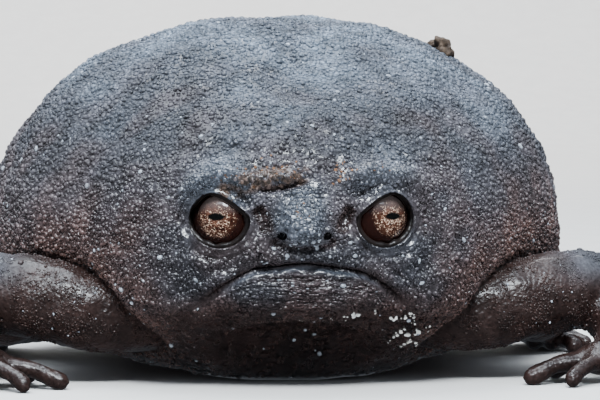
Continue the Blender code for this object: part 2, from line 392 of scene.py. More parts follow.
@dataclass(frozen=True)
class Fold:
    """A ridge or a crease of the face, drawn from the front as points of x and z."""

    line: tuple[Pair, ...]
    width: float
    height: float
    taper: float = 0.18

    def measure(self, places: Array) -> tuple[Array, Array]:
        """How far places lie from the line, and where along it.

        Args:
            places: x and z, one row each.

        Returns:
            Distances in millimetres, and shares of the line's length.
        """
        corners = np.array(self.line)
        spans = np.diff(corners, axis=0)
        lengths = np.linalg.norm(spans, axis=1)
        starts = np.concatenate([[0], np.cumsum(lengths)])
        best = np.full(len(places), 1e9)
        along = np.zeros(len(places))
        for corner, span, length, start in zip(corners, spans, lengths, starts):
            share = np.clip((places - corner) @ span / length**2, 0, 1)
            away = np.linalg.norm(places - corner - share[:, None] * span, axis=1)
            nearer = away < best
            best = np.where(nearer, away, best)
            along = np.where(nearer, (start + share * length) / starts[-1], along)
        return best, along

    def relief(self, places: Array) -> Array:
        """The height that the fold adds.

        Args:
            places: x and z, one row each.

        Returns:
            Heights in millimetres, below zero in a crease.
        """
        away, along = self.measure(places)
        ends = ramp(np.minimum(along, 1 - along), -0.02, self.taper)
        return self.height * ends * np.exp(-((away / self.width) ** 2))


def away_from(line: tuple[Pair, ...], places: Array) -> Array:
    """How far places of x and z lie from a line."""
    return Fold(line, 1, 1).measure(places)[0]


@dataclass(frozen=True)
class EyeSizes:
    """Where the left eye sits, how large it is and how its lids open."""

    centre: Triple = (4.95, -18.2, 11.6)
    radius: float = 2.5
    orbit_radius: float = 3.05
    socket_radius: float = 2.58
    opening_centre: Pair = (5.57, 11.66)
    opening_half_width: float = 2.04
    opening_half_height: float = 1.95
    lid_height: float = 1.74
    lid_slant: float = 0.5
    lid_curve: float = 0.13
    lid_softness: float = 0.3
    rim_radius: float = 0.29
    gaze_out: Pair = (math.radians(28), math.radians(20))
    gaze_up: float = math.radians(5)

    def opening(self, angles: Array, grow: float = 0.0) -> Array:
        """The edge of the opening between the lids, seen from the front.

        Args:
            angles: places round the edge, in radians.
            grow: how much wider it is drawn.

        Returns:
            Rows of x and z.
        """
        out = (self.opening_half_width + grow) * np.cos(angles)
        up = (self.opening_half_height + grow) * np.sin(angles)
        over = up - (self.lid_height + grow + self.lid_slant * out - self.lid_curve * out**2)
        up = up - 0.5 * (over + np.sqrt(over**2 + self.lid_softness**2))
        return np.column_stack([self.opening_centre[0] + out, self.opening_centre[1] + up])


EYE = EyeSizes()


@dataclass(frozen=True)
class Face:
    """The mouth, the nose and the folds round the eyes."""

    mouth: tuple[Pair, ...] = (
        (-7.35, 5.7), (-6.5, 6.3), (-5.45, 7.13), (-4.8, 7.55), (-3.95, 8.03), (-3.25, 8.36), (-2.2, 8.46),
        (-0.65, 8.66), (0.15, 8.7), (1.1, 8.58), (2.1, 8.44), (3.5, 8.22), (4.2, 8.02), (4.85, 7.66),
        (5.7, 7.13), (6.65, 6.34), (7.5, 5.55),
    )
    crust: tuple[Pair, ...] = ((-5.2, 13.5), (-3.9, 14.05), (-2.6, 14.4), (-1.3, 14.5), (-0.3, 14.65))
    nose: Triple = (0.0, -22.0, 10.0)
    nostril: Pair = (1.51, 10.58)
    nostril_front: float = -22.1
    nostril_radii: Triple = (0.33, 0.9, 0.27)

    def shifted_mouth(self, down: float, start: int = 0, stop: int | None = None) -> tuple[Pair, ...]:
        """The line of the mouth moved down."""
        return tuple((x, z - down) for x, z in self.mouth[start:stop])

    def below_mouth(self, points: Array) -> Array:
        """How far points lie below the line of the mouth."""
        return np.interp(points[:, 0], *np.array(self.mouth).T) - points[:, 2]

    def folds(self) -> list[Fold]:
        """All ridges and creases of the face.

        Returns:
            The folds, the mouth and chin first, then the nose, the hoods and the cheeks.
        """
        right_hood = ((-7.8, 12.4), (-7.5, 13.5), (-6.6, 14.3), (-5.5, 14.65), (-4.3, 14.6), (-3.1, 13.8))
        left_hood = (
            (2.8, 13.5), (3.5, 14.4), (4.5, 14.8), (5.7, 14.85), (6.9, 14.5), (7.7, 13.7), (7.9, 12.5),
        )
        made = [
            # the mouth and its lips
            Fold(self.shifted_mouth(0.0), 0.38, -0.34, taper=0.06),
            Fold(self.shifted_mouth(0.44, 3, 15), 0.22, 0.2),
            Fold(self.shifted_mouth(-0.45, 2, 16), 0.28, 0.18),
            # wrinkles of the chin
            Fold(((-3.6, 7.5), (-1.5, 7.68), (1.2, 7.64), (3.7, 7.45)), 0.16, -0.2),
            Fold(((-3.9, 7.1), (-2.0, 7.18), (0.6, 7.1), (2.2, 7.2), (4.2, 6.95)), 0.15, -0.18),
            Fold(((-3.0, 6.72), (-0.8, 6.75), (1.4, 6.6), (3.2, 6.62)), 0.15, -0.17),
            Fold(((-4.2, 6.3), (-1.4, 6.3), (0.9, 6.15), (3.9, 6.2)), 0.2, -0.16),
            # the corners of the mouth
            Fold(((4.5, 8.4), (5.5, 7.95), (6.5, 7.2), (7.6, 6.2)), 0.32, 0.26),
            Fold(((4.7, 8.95), (5.9, 8.4), (7.3, 7.4)), 0.2, -0.22),
            Fold(((-4.4, 8.35), (-5.6, 7.75), (-6.9, 6.85)), 0.32, 0.22),
            Fold(((-4.6, 8.9), (-6.0, 8.3), (-7.3, 7.3)), 0.2, -0.16),
            # the nose and its nostrils
            Fold(((-2.6, 10.35), (-1.7, 9.9), (0.0, 9.72), (1.8, 9.88), (2.7, 10.35)), 0.3, -0.32),
            Fold(((-3.0, 9.35), (0.0, 9.25), (3.0, 9.3)), 0.3, 0.1),
            Fold(((-1.35, 10.85), (0.0, 10.7), (1.35, 10.85)), 0.68, 0.55),
            Fold(((-1.2, 11.4), (-0.6, 12.6), (-0.4, 13.4)), 0.45, 0.16),
            Fold(((1.2, 11.4), (0.7, 12.6), (0.5, 13.4)), 0.45, 0.16),
            Fold(((0.03, 11.0), (0.05, 10.1)), 0.1, -0.14),
            Fold(((-1.95, 10.75), (-1.75, 10.95), (-1.3, 10.9)), 0.16, 0.16),
            Fold(((1.95, 10.75), (1.75, 10.95), (1.3, 10.9)), 0.16, 0.16),
            Fold(((-1.65, 10.4), (-2.15, 10.15)), 0.15, -0.25),
            Fold(((1.65, 10.4), (2.15, 10.15)), 0.15, -0.25),
            # beside the nose, and the hoods over the eyes
            Fold(((-3.18, 12.6), (-2.75, 11.9), (-2.55, 11.3), (-2.5, 10.6)), 0.5, -0.6),
            Fold(((3.3, 12.6), (2.92, 11.88), (2.65, 11.3), (2.6, 10.6)), 0.5, -0.6),
            Fold(right_hood, 0.6, 0.85),
            Fold(((-6.8, 13.8), (-5.6, 13.95), (-4.4, 13.45), (-3.4, 12.6)), 0.22, -0.3),
            Fold(left_hood, 0.6, 0.85),
            Fold(((3.3, 13.0), (4.5, 13.75), (5.8, 14.1), (7.0, 13.65)), 0.22, -0.3),
            # the soil crust on the brow and its shadow
            Fold(((-3.9, 14.0), (-3.16, 14.3), (-2.37, 14.45), (-1.32, 14.55), (-0.2, 14.7)), 0.34, 0.55),
            Fold(((-3.1, 13.6), (-1.99, 13.75), (-0.93, 13.9), (0.3, 14.3)), 0.22, -0.65),
            # under and beside the eyes
            Fold(((-7.7, 10.2), (-7.1, 9.45), (-6.21, 9.08), (-4.89, 9.1), (-3.5, 9.8)), 0.2, -0.34),
            Fold(((3.6, 10.2), (4.33, 9.45), (5.16, 9.05), (6.6, 9.15), (7.7, 9.95)), 0.2, -0.34),
            Fold(((-8.3, 10.4), (-7.5, 9.0), (-6.2, 8.6), (-4.6, 8.7)), 0.26, 0.22),
            Fold(((4.5, 8.8), (6.0, 8.55), (7.5, 8.9), (8.4, 10.3)), 0.26, 0.22),
            Fold(((-8.5, 12.3), (-8.2, 11.2), (-8.3, 10.1)), 0.22, -0.24),
            Fold(((8.5, 12.5), (8.25, 11.3), (8.4, 10.2)), 0.22, -0.24),
        ]
        below = np.linspace(math.pi * 0.98, math.pi * 2.02, 13)
        for away, width, height in ((0.34, 0.1, -0.14), (0.6, 0.2, 0.22)):
            for side in (-1.0, 1.0):
                arc = EYE.opening(below, away) * np.array([side, 1.0])
                made.append(Fold(tuple(map(tuple, arc)), width, height))
        return made

    def relief(self, places: Array) -> Array:
        """The height that all folds add together."""
        return np.sum([fold.relief(places) for fold in self.folds()], axis=0)


FACE = Face()


@dataclass(frozen=True)
class BodyForm:
    """The puffed-up body as blended masses, seen from its heart."""

    heart: Triple = (0.0, 0.0, 9.4)
    masses: tuple[Mass, ...] = (
        Mass((0.0, 2.5, 9.3), 21.3, 21.0, rise=16.6, drop=9.9, fullness=2.18),
        Mass((0.0, -12.5, 10.2), 12.8, 8.8, rise=9.2, drop=7.3, blend=3.5, fullness=2.35),
        Mass((0.0, -8.9, 4.4), 11.5, 7.6, rise=3.6, drop=4.9, blend=2.0),
        Mass((8.2, -14.4, 7.2), 3.6, 4.6, rise=3.4, drop=3.2, blend=2.2),
        Mass((0.0, -16.7, 6.9), 7.0, 4.9, rise=1.9, drop=2.2, blend=1.1),
        Mass((0.0, -16.9, 9.5), 6.6, 4.7, rise=2.0, drop=1.3, blend=1.0),
        Mass((0.0, -19.2, 11.2), 2.9, 3.5, rise=2.6, drop=1.5, blend=1.3),
        Mass((0.0, -15.6, 14.2), 6.0, 5.1, rise=4.2, drop=3.2, blend=2.6),
        Mass((5.6, -17.0, 14.0), 3.3, 3.2, rise=1.9, drop=1.6, blend=1.2),
        Mass(EYE.centre, EYE.orbit_radius, EYE.orbit_radius, EYE.orbit_radius, EYE.orbit_radius, blend=0.8),
        Mass((12.2, -10.6, 5.6), 3.6, 3.0, rise=2.8, drop=2.8, blend=1.6),
        Mass((13.6, 11.8, 6.0), 6.4, 6.8, rise=5.2, drop=4.4, blend=2.6),
    )
    throat: Mass = Mass((0.0, -17.6, 2.2), 7.2, 4.4, rise=2.5, drop=3.4, blend=1.2)

    def distance(self, points: Array) -> Array:
        """The distance of points from the whole body, alike on both sides.

        Args:
            points: places in millimetres.

        Returns:
            Distances, below zero inside.
        """
        points = np.column_stack([np.abs(points[:, 0]), points[:, 1:]])
        total = self.masses[0].distance(points)
        for mass in self.masses[1:]:
            total = blended(total, mass.distance(points), mass.blend)
        return -blended(-total, self.throat.distance(points), self.throat.blend)

    def reach(self, directions: Array, far: float = 45.0, steps: int = 26) -> Array:
        """How far the surface lies from the heart.

        Args:
            directions: unit rows.
            far: a distance that is outside everywhere.
            steps: how often the search halves its range.

        Returns:
            One distance for each direction.
        """
        inner = np.full(len(directions), 1.0)
        outer = np.full(len(directions), far)
        for _ in range(steps):
            middle = (inner + outer) / 2
            inside = self.distance(np.array(self.heart) + directions * middle[:, None]) < 0
            inner = np.where(inside, middle, inner)
            outer = np.where(inside, outer, middle)
        return inner


BODY = BodyForm()


@dataclass(frozen=True)
class Limb:
    """One leg of the left side: a run of stations of x, y, z and radius, a palm or sole, and digits."""

    name: str
    stations: tuple[tuple[float, float, float, float], ...]
    palm: tuple[Triple, Triple]
    digits: tuple[tuple[Triple, Triple, float], ...]
    spacing: float = 0.45
    arch: float = 0.25
    tip_share: float = 0.95
    waist: float = 0.12
    swelling: Pair = (0.05, 0.05)
    voxel: float = 0.24
    sides: int = 20
    rings: int = 12

    def beads(self) -> list[tuple[Array, float]]:
        """The balls that the limb is built up from.

        Returns:
            Centres and radii.
        """
        made = self.along([np.array(station) for station in self.stations], self.spacing)
        for root, tip, radius in self.digits:
            root_bead = np.append(root, radius)
            tip_bead = np.append(tip, radius * self.tip_share)
            middle = (root_bead + tip_bead) / 2 + np.array([0, 0, self.arch, -radius * self.waist])
            made += self.along([root_bead, middle, tip_bead], self.spacing)
        return made

    @staticmethod
    def along(stations: list[Array], spacing: float) -> list[tuple[Array, float]]:
        """Balls on a smooth run through stations.

        Args:
            stations: x, y, z and radius.
            spacing: the distance between balls, as a share of their radius.

        Returns:
            Centres and radii.
        """
        given = [2 * stations[0] - stations[1], *stations, 2 * stations[-1] - stations[-2]]
        beads = []
        for i in range(1, len(given) - 2):
            before, here, there, after = given[i - 1 : i + 3]
            length = np.linalg.norm((there - here)[:3])
            steps = max(2, math.ceil(length / (spacing * max(here[3], there[3]))))
            for t in np.arange(steps) / steps:
                bead = (
                    here
                    + 0.5 * t * (there - before)
                    + t * t * (before - 2.5 * here + 2 * there - 0.5 * after)
                    + t**3 * 0.5 * (3 * here - before - 3 * there + after)
                )
                beads.append((bead[:3], bead[3]))
        beads.append((given[-2][:3], given[-2][3]))
        return beads

    def distance(self, points: Array) -> Array:
        """How far points lie from this limb or its mirror image.

        Args:
            points: places in millimetres.

        Returns:
            Distances, below zero inside.
        """
        points = np.column_stack([np.abs(points[:, 0]), points[:, 1:]])
        centre, radii = (np.array(values) for values in self.palm)
        offset = (points - centre) / radii
        nearest = (np.linalg.norm(offset, axis=1) - 1) * radii.min()
        for bead, radius in self.beads():
            nearest = np.minimum(nearest, np.linalg.norm(points - bead, axis=1) - radius)
        return nearest

    def build(self) -> Piece:
        """The limb as one closed, smooth form.

        Returns:
            The new object.
        """
        balls = [ball(f"bead_{i}", tuple(bead), (radius,) * 3, self.sides, self.rings)
                 for i, (bead, radius) in enumerate(self.beads())]
        balls.append(ball("palm", *self.palm, self.sides, self.rings))
        limb = joined(self.name, balls)
        remesh = limb.modifiers.new("one_form", "REMESH")
        remesh.mode = "VOXEL"
        remesh.voxel_size = self.voxel * MM
        smooth = limb.modifiers.new("soften", "SMOOTH")
        smooth.factor = 0.5
        smooth.iterations = 5
        apply_modifiers(limb)
        points = points_of(limb)
        even, uneven = self.swelling
        points += normals_of(limb) * (even + uneven * waves(points, 1.6, 31))[:, None]
        points[:, 2] = np.maximum(points[:, 2], 0.0)
        move_points(limb, points)
        return limb


ARM = Limb(
    "arm",
    stations=(
        (8.6, -10.2, 4.6, 2.5),
        (13.2, -12.6, 4.9, 2.8),
        (18.0, -11.9, 5.9, 2.85),
        (21.8, -10.3, 6.0, 2.7),
        (23.0, -12.2, 4.4, 2.2),
        (22.9, -14.0, 3.0, 1.6),
        (22.2, -15.2, 2.1, 1.25),
    ),
    palm=((21.6, -15.6, 1.75), (2.0, 1.9, 1.2)),
    digits=(
        ((20.9, -14.6, 1.6), (18.4, -13.4, 0.55), 0.58),
        ((20.2, -15.2, 1.6), (16.7, -14.9, 0.55), 0.62),
        ((20.1, -16.0, 1.6), (16.2, -17.0, 0.55), 0.66),
        ((20.7, -16.9, 1.5), (18.6, -18.9, 0.55), 0.6),
    ),
)
LEG = Limb(
    "leg",
    stations=(
        (11.6, 9.8, 5.4, 4.2),
        (16.6, 8.0, 5.0, 3.9),
        (20.2, 4.8, 4.1, 3.0),
        (21.3, 8.4, 3.1, 2.35),
        (20.6, 12.2, 2.2, 1.8),
        (21.0, 13.2, 1.7, 1.5),
    ),
    palm=((22.0, 12.6, 1.1), (1.6, 3.0, 1.2)),
    digits=(
        ((21.1, 10.6, 0.8), (20.9, 8.4, 0.55), 0.56),
        ((21.7, 10.2, 0.8), (22.1, 7.2, 0.55), 0.58),
        ((22.4, 10.2, 0.85), (23.7, 6.3, 0.55), 0.66),
        ((23.0, 10.9, 0.8), (25.0, 8.4, 0.55), 0.6),
        ((23.3, 12.0, 0.75), (25.2, 10.8, 0.55), 0.54),
    ),
)


def from_limbs(points: Array) -> Array:
    """How far points lie from the nearest leg, below zero inside."""
    return np.minimum(ARM.distance(points), LEG.distance(points))


@dataclass
class Skin:
    """The one skin of body and limbs."""

    sides: int = 288
    face_step: float = 0.0054
    back_step: float = 0.026
    face_turn: float = 0.43
    back_turn: float = 0.95
    wander: float = 0.07
    wrinkles: tuple[tuple[float, int, float], ...] = ((2.3, 9, 0.08), (1.1, 5, 0.08), (0.6, 6, 0.045))
    dents: tuple[tuple[float, int, float], ...] = ((8.0, 3, 0.16), (3.2, 4, 0.06))
    face_calm: float = 0.75
    groove_depth: float = 0.6
    groove_width: float = 0.7
    root_reach: Pair = (0.45, 1.1)
    root_passes: int = 6
    root_pull: float = 0.6
    mouth_slot: float = 0.1
    mouth_end: float = 0.06
    mouth_back: float = -19.4
    opening_corners: int = 72
    cut_front: float = -30.0

    def turns(self) -> Array:
        """The angles of the rings from the nose, closest together on the face.

        Returns:
            Angles from 0 to pi, both poles included.
        """
        made = [0.0]
        while made[-1] < math.pi:
            share = ramp(np.array([made[-1]]), self.face_turn, self.back_turn)[0]
            made.append(made[-1] + self.face_step + (self.back_step - self.face_step) * share)
        return np.array(made) * math.pi / made[-1]

    def build(self) -> Piece:
        """The skin with its folds, sockets, nostrils and the slit of the mouth.

        Returns:
            The new object.
        """
        skin = self.body()
        limbs = []
        for limb in (ARM, LEG):
            left = limb.build()
            limbs += [left, mirrored(left, f"{limb.name}_right")]
        boolean(skin, limbs, Join.ADD)
        self.soften_roots(skin)
        boolean(skin, self.cutters(), Join.CUT)
        skin.data.shade_smooth()
        log.info("skin: %d triangles", sum(len(face.vertices) - 2 for face in skin.data.polygons))
        return skin

    def body(self) -> Piece:
        """The body without limbs: a sphere of rings moved onto the blended masses.

        Returns:
            The new object.
        """
        turns = self.turns()
        rings = len(turns) - 1
        sphere = bpy.ops.mesh.primitive_uv_sphere_add
        skin = added("skin", sphere, segments=self.sides, ring_count=rings, radius=1)
        unit = points_of(skin) * MM
        ring = np.arccos(np.clip(unit[:, 2], -1, 1)) / math.pi * rings
        turn = np.interp(ring, np.arange(rings + 1), turns)
        around = np.arctan2(unit[:, 1], unit[:, 0])
        out = np.sin(turn)
        directions = np.column_stack([out * np.cos(around), -np.cos(turn), out * np.sin(around)])
        reach = BODY.reach(directions)
        points = np.array(BODY.heart) + directions * reach[:, None]
        points += directions * self.relief(points)[:, None]
        points[:, 2] = np.maximum(points[:, 2], 0.0)
        move_points(skin, points)
        return skin

    def relief(self, points: Array) -> Array:
        """Folds of the face and soft dents of the rest.

        Args:
            points: places on the plain body.

        Returns:
            Heights in millimetres.
        """
        face = ramp(-points[:, 1], 15.0, 18.0)
        places = points[:, (0, 2)]
        wander = np.column_stack([waves(points, 1.3, 11), waves(points, 1.3, 12)]) * self.wander
        folds = FACE.relief(places + wander)
        fine = sum(waves(points, length, seed) * height for length, seed, height in self.wrinkles)
        dents = sum(waves(points, length, seed) * height for length, seed, height in self.dents)
        limb = from_limbs(points)
        groove = -self.groove_depth * np.exp(-((limb.clip(0) / self.groove_width) ** 2))
        return face * (folds + fine) + (1 - self.face_calm * face) * dents + groove

    def soften_roots(self, skin: Piece) -> None:
        """Rounds the crease where each limb grows from the body.

        Args:
            skin: the joined mesh.
        """
        points = points_of(skin)
        body = np.abs(BODY.distance(points))
        limb = np.minimum(np.abs(ARM.distance(points)), np.abs(LEG.distance(points)))
        near = 1 - ramp(np.maximum(body, limb), *self.root_reach)
        edges = np.empty(len(skin.data.edges) * 2, dtype=np.int64)
        skin.data.edges.foreach_get("vertices", edges)
        edges = edges.reshape(-1, 2)
        edges = edges[(near[edges] > 0).all(axis=1)]
        count = np.bincount(edges.ravel(), minlength=len(points))
        for _ in range(self.root_passes):
            total = np.zeros_like(points)
            np.add.at(total, edges[:, 0], points[edges[:, 1]])
            np.add.at(total, edges[:, 1], points[edges[:, 0]])
            mean = total / np.maximum(count, 1)[:, None]
            points += np.where(count > 1, near * self.root_pull, 0)[:, None] * (mean - points)
        move_points(skin, points)

    def cutters(self) -> list[Piece]:
        """What is cut out of the head.

        Returns:
            Closed pieces for the sockets, the openings of the lids, the nostrils and the mouth.
        """
        opening = EYE.opening(round_angles(self.opening_corners))
        x, z = FACE.nostril
        left = [
            ball("socket", EYE.centre, (EYE.socket_radius,) * 3, 64, 40),
            prism("opening", opening, EYE.centre[1], self.cut_front),
            ball("nostril", (x, FACE.nostril_front, z), FACE.nostril_radii, 32, 20),
        ]
        line = np.array(FACE.mouth)
        taper = np.sqrt(np.clip(1 - np.linspace(-1, 1, len(line)) ** 6, self.mouth_end, 1))
        lift = np.column_stack([np.zeros(len(line)), self.mouth_slot / 2 * taper])
        outline = np.concatenate([line + lift, (line - lift)[::-1]])
        mouth = prism("mouth", outline, self.mouth_back, self.cut_front)
        return [*left, *(mirrored(piece, f"{piece.name}_right") for piece in left), mouth]


@dataclass
class Granules:
    """The small warts that cover the skin, in a few joined pieces."""

    face_radius: float = 0.14
    back_radius: float = 0.17
    limb_radius: float = 0.08
    limb_skin: float = 0.12
    face_back: float = -15.0
    face_ends: Pair = (7.0, 20.0)
    smallest: float = 0.52
    growth: float = 1.15
    rarity: float = 1.8
    crowding: float = 1.42
    candidates: int = 460000
    pieces: int = 8
    sides: int = 5
    limb_share: float = 0.34
    steepness: Pair = (0.45, 0.9)
    rows: tuple[Triple, ...] = ((1.0, -0.12, 0.0), (0.66, 0.72, 0.5))
    lay: Triple = (0.31, 0.87, 0.38)
    chin_height: float = 6.9
    chin_reach: Pair = (6.0, 1.7)
    chin_stretch: float = 0.6
    bare_lip: Pair = (6.0, 0.62)
    bare_mouth: float = 0.3
    bare_lids: Pair = (0.72, 0.3)
    bare_nostril: float = 0.6
    bare_eye: float = 0.3
    bare_digits: Triple = (0.3, 15.0, 2.7)
    bare_sole: float = 0.3
    bare_hollow: float = -0.45
    # shares of warts that get a painted highlight, more of them in these spots
    dry_glint: float = 0.012
    wet_spots: tuple[tuple[Triple, Triple, Pair, float], ...] = (
        ((0.0, -22.0, 9.6), (1.5, 1.0, 1.0), (1.5, 4.0), 0.05),
        ((0.0, -22.0, 10.5), (1.4, 2.0, 0.7), (0.6, 1.3), 0.2),
        ((1.0, -18.0, 2.3), (4.0, 5.0, 1.3), (0.7, 1.2), 0.05),
    )

    def radii(self, points: Array) -> Array:
        """The usual size of a wart at each place, nothing where the skin is smooth.

        Args:
            points: places on the skin.

        Returns:
            Radii in millimetres.
        """
        body = BODY.distance(points)
        limb = from_limbs(points)
        from_nose = np.linalg.norm(points - np.array(FACE.nose), axis=1)
        radius = self.face_radius + (self.back_radius - self.face_radius) * ramp(from_nose, *self.face_ends)
        front = points[:, 1] < self.face_back
        bare = front & (self.bare_face(points) | (body < self.bare_hollow))
        near, out, high = self.bare_digits
        bare |= (limb < near) & (points[:, 2] < high) & (np.abs(points[:, 0]) > out)
        bare |= points[:, 2] < self.bare_sole
        radius = np.where(limb < self.limb_skin, self.limb_radius, radius)
        return np.where(bare, 0.0, radius)

    def bare_face(self, points: Array) -> Array:
        """Where the face has no warts: the lids, the lips and round the nostrils.

        Args:
            points: places on the skin.

        Returns:
            Whether each one is bare.
        """
        places = np.column_stack([np.abs(points[:, 0]), points[:, 2]])
        loop = np.append(round_angles(48), 0)
        below = FACE.below_mouth(points)
        corner, depth = self.bare_lip
        lip = (below > 0) & (below < depth) & (np.abs(points[:, 0]) < corner)
        from_eye = np.column_stack([np.abs(points[:, 0]), points[:, 1:]]) - np.array(EYE.centre)
        bare = lip | (np.linalg.norm(from_eye, axis=1) < EYE.radius + self.bare_eye)
        bare |= away_from(FACE.mouth, points[:, (0, 2)]) < self.bare_mouth
        bare |= np.linalg.norm(places - np.array(FACE.nostril), axis=1) < self.bare_nostril
        lid = np.where(points[:, 2] < EYE.opening_centre[1], *self.bare_lids)
        return bare | (away_from(tuple(map(tuple, EYE.opening(loop))), places) < lid)

    @staticmethod
    def triangles(skin: Piece) -> Array:
        """The skin's triangles in order of place, since a Boolean's own order varies from run to run.

        Args:
            skin: the skin.

        Returns:
            Rows of three point numbers.
        """
        skin.data.calc_loop_triangles()
        corners = np.empty(len(skin.data.loop_triangles) * 3, dtype=np.int64)
        skin.data.loop_triangles.foreach_get("vertices", corners)
        corners = corners.reshape(-1, 3)
        points = points_of(skin)
        rank = np.empty(len(points), dtype=np.int64)
        rank[np.lexsort(points.T)] = np.arange(len(points))
        corners = np.take_along_axis(corners, np.argsort(rank[corners], axis=1), axis=1)
        return corners[np.lexsort(rank[corners].T)]

    def roots(self, skin: Piece) -> tuple[Array, Array, Array]:
        """Chooses where warts grow, evenly and without overlap.

        Args:
            skin: the skin they grow on.

        Returns:
            Places, directions and radii.
        """
        chance = np.random.default_rng(7)
        corners = self.triangles(skin)
        points, normals = points_of(skin), normals_of(skin)
        first, second, third = (points[corners[:, i]] for i in range(3))
        area = np.linalg.norm(np.cross(second - first, third - first), axis=1) / 2
        weight = area / self.radii((first + second + third) / 3).clip(0.08) ** 2
        chosen = chance.choice(len(corners), self.candidates, p=weight / weight.sum())
        share = chance.dirichlet((1, 1, 1), self.candidates)
        places = (points[corners[chosen]] * share[:, :, None]).sum(axis=1)
        facing = unit_rows((normals[corners[chosen]] * share[:, :, None]).sum(axis=1))
        sizes = self.smallest + self.growth * chance.uniform(0, 1, self.candidates) ** self.rarity
        radii = self.radii(places) * sizes
        limb = from_limbs(places) < self.limb_skin
        patchy = ramp(waves(places, 2.5, 23), -0.8, 0.8) * self.limb_share
        keep = (radii > 0) & (~limb | (chance.random(self.candidates) < patchy))
        places, facing, radii = places[keep], facing[keep], radii[keep]
        tree = KDTree(len(places))
        for i, place in enumerate(places):
            tree.insert(place, i)
        tree.balance()
        free = np.ones(len(places), dtype=bool)
        taken = []
        for i, place in enumerate(places):
            if free[i]:
                taken.append(i)
                for _, other, away in tree.find_range(place, self.crowding * radii[i]):
                    if away < self.crowding / 2 * (radii[i] + radii[other]):
                        free[other] = False
        return places[taken], facing[taken], radii[taken]

    def build(self, skin: Piece) -> list[Piece]:
        """Makes the warts.

        Args:
            skin: the skin they grow on.

        Returns:
            The pieces.
        """
        places, facing, radii = self.roots(skin)
        chance = np.random.default_rng(8)
        share = np.full(len(places), self.dry_glint)
        for centre, stretch, ends, amount in self.wet_spots:
            away = np.linalg.norm((places - np.array(centre)) / np.array(stretch), axis=1)
            share += amount * (1 - ramp(away, *ends))
        # painted highlight: a pale colour on the tops of some warts
        glint = np.where(chance.random(len(places)) < share, chance.uniform(0.3, 1.0, len(places)), 0.0)
        shade = chance.uniform(0, 1, len(places))
        made = []
        for i, part in enumerate(np.array_split(np.argsort(places[:, 1]), self.pieces)):
            piece = self.domes(f"granules_{i + 1}", places[part], facing[part], radii[part], chance)
            count = 2 * self.sides + 2
            tops = np.tile(np.arange(count) >= self.sides, len(part))
            write_shares(piece, "glint", np.repeat(glint[part], count) * tops)
            write_shares(piece, "shade", np.repeat(shade[part], count))
            Tones().write(piece)
            made.append(piece)
        log.info("granules: %d", len(places))
        return made

    def domes(self, name: str, places: Array, facing: Array, radii: Array,
              chance: np.random.Generator) -> Piece:
        """One joined piece of low, closed domes.

        Args:
            name: the piece's name.
            places: their roots.
            facing: the way each one stands.
            radii: their sizes.
            chance: the source of small differences.

        Returns:
            The new object.
        """
        wide, tall = self.chin_reach
        from_chin = np.hypot(places[:, 0] / wide, (places[:, 2] - self.chin_height) / tall)
        chin = (1 - ramp(from_chin, 0.7, 1.0)) * ramp(-places[:, 1], 14.0, 16.0)
        level = np.cross(facing, [0.0, 0.0, 1.0])
        aside = unit_rows(np.where((chin > 0.3)[:, None], level, np.cross(facing, self.lay)))
        ahead = np.cross(facing, aside)
        spin = chance.uniform(0, 2 * math.pi, len(places))
        height = radii * chance.uniform(*self.steepness, len(places))
        stretch = chance.uniform(0.75, 1.3, len(places)) * (1 + self.chin_stretch * chin)
        rows = []
        for reach, rise, turn in self.rows:
            for angle in round_angles(self.sides) + turn * 2 * math.pi / self.sides:
                flat = radii * reach
                rows.append(places + aside * (flat * np.cos(angle + spin) * stretch)[:, None]
                            + ahead * (flat * np.sin(angle + spin) / stretch)[:, None]
                            + facing * (height * rise)[:, None])
        rows.append(places + facing * height[:, None])
        rows.append(places - facing * (radii * 0.4)[:, None])
        points = np.stack(rows, axis=1).reshape(-1, 3)
        top, bottom = 2 * self.sides, 2 * self.sides + 1
        faces = []
        for i in range(self.sides):
            after = (i + 1) % self.sides
            faces += [
                (i, after, self.sides + i),
                (after, self.sides + after, self.sides + i),
                (self.sides + i, self.sides + after, top),
                (after, i, bottom),
            ]
        count = 2 * self.sides + 2
        faces = (np.array(faces)[None] + count * np.arange(len(places))[:, None, None]).reshape(-1, 3)
        piece = mesh_piece(name, points, faces)
        angle = np.arange(count) * 2 * math.pi / self.sides
        size = np.where(np.arange(count) < self.sides, 1.0, 0.6)
        size[-2:] = 0
        map_patches(piece, places, np.column_stack([np.cos(angle), np.sin(angle)]) * size[:, None])
        return piece


def map_patches(piece: Piece, roots: Array, local: Array) -> None:
    """Gives each small shape a patch at its root's place on the skin spread out flat from the nose.

    Args:
        piece: the joined small shapes.
        roots: where each one sits.
        local: the place of each of its points within its patch, from -1 to 1.
    """
    direction = unit_rows(roots - np.array(BODY.heart))
    spread = 0.49 * np.sqrt(np.clip((1 + direction[:, 1]) / 2, 0, 1))
    around = np.arctan2(direction[:, 2], direction[:, 0])
    middles = 0.5 + np.column_stack([spread * np.cos(around), spread * np.sin(around)])
    corners = np.empty(len(piece.data.loops), dtype=np.int64)
    piece.data.loops.foreach_get("vertex_index", corners)
    count = len(local)
    places = middles[corners // count] + local[corners % count] * PATCH / 2
    layer = piece.data.uv_layers.new(name="OFBake")
    layer.data.foreach_set("uv", places.astype(np.float32).ravel())


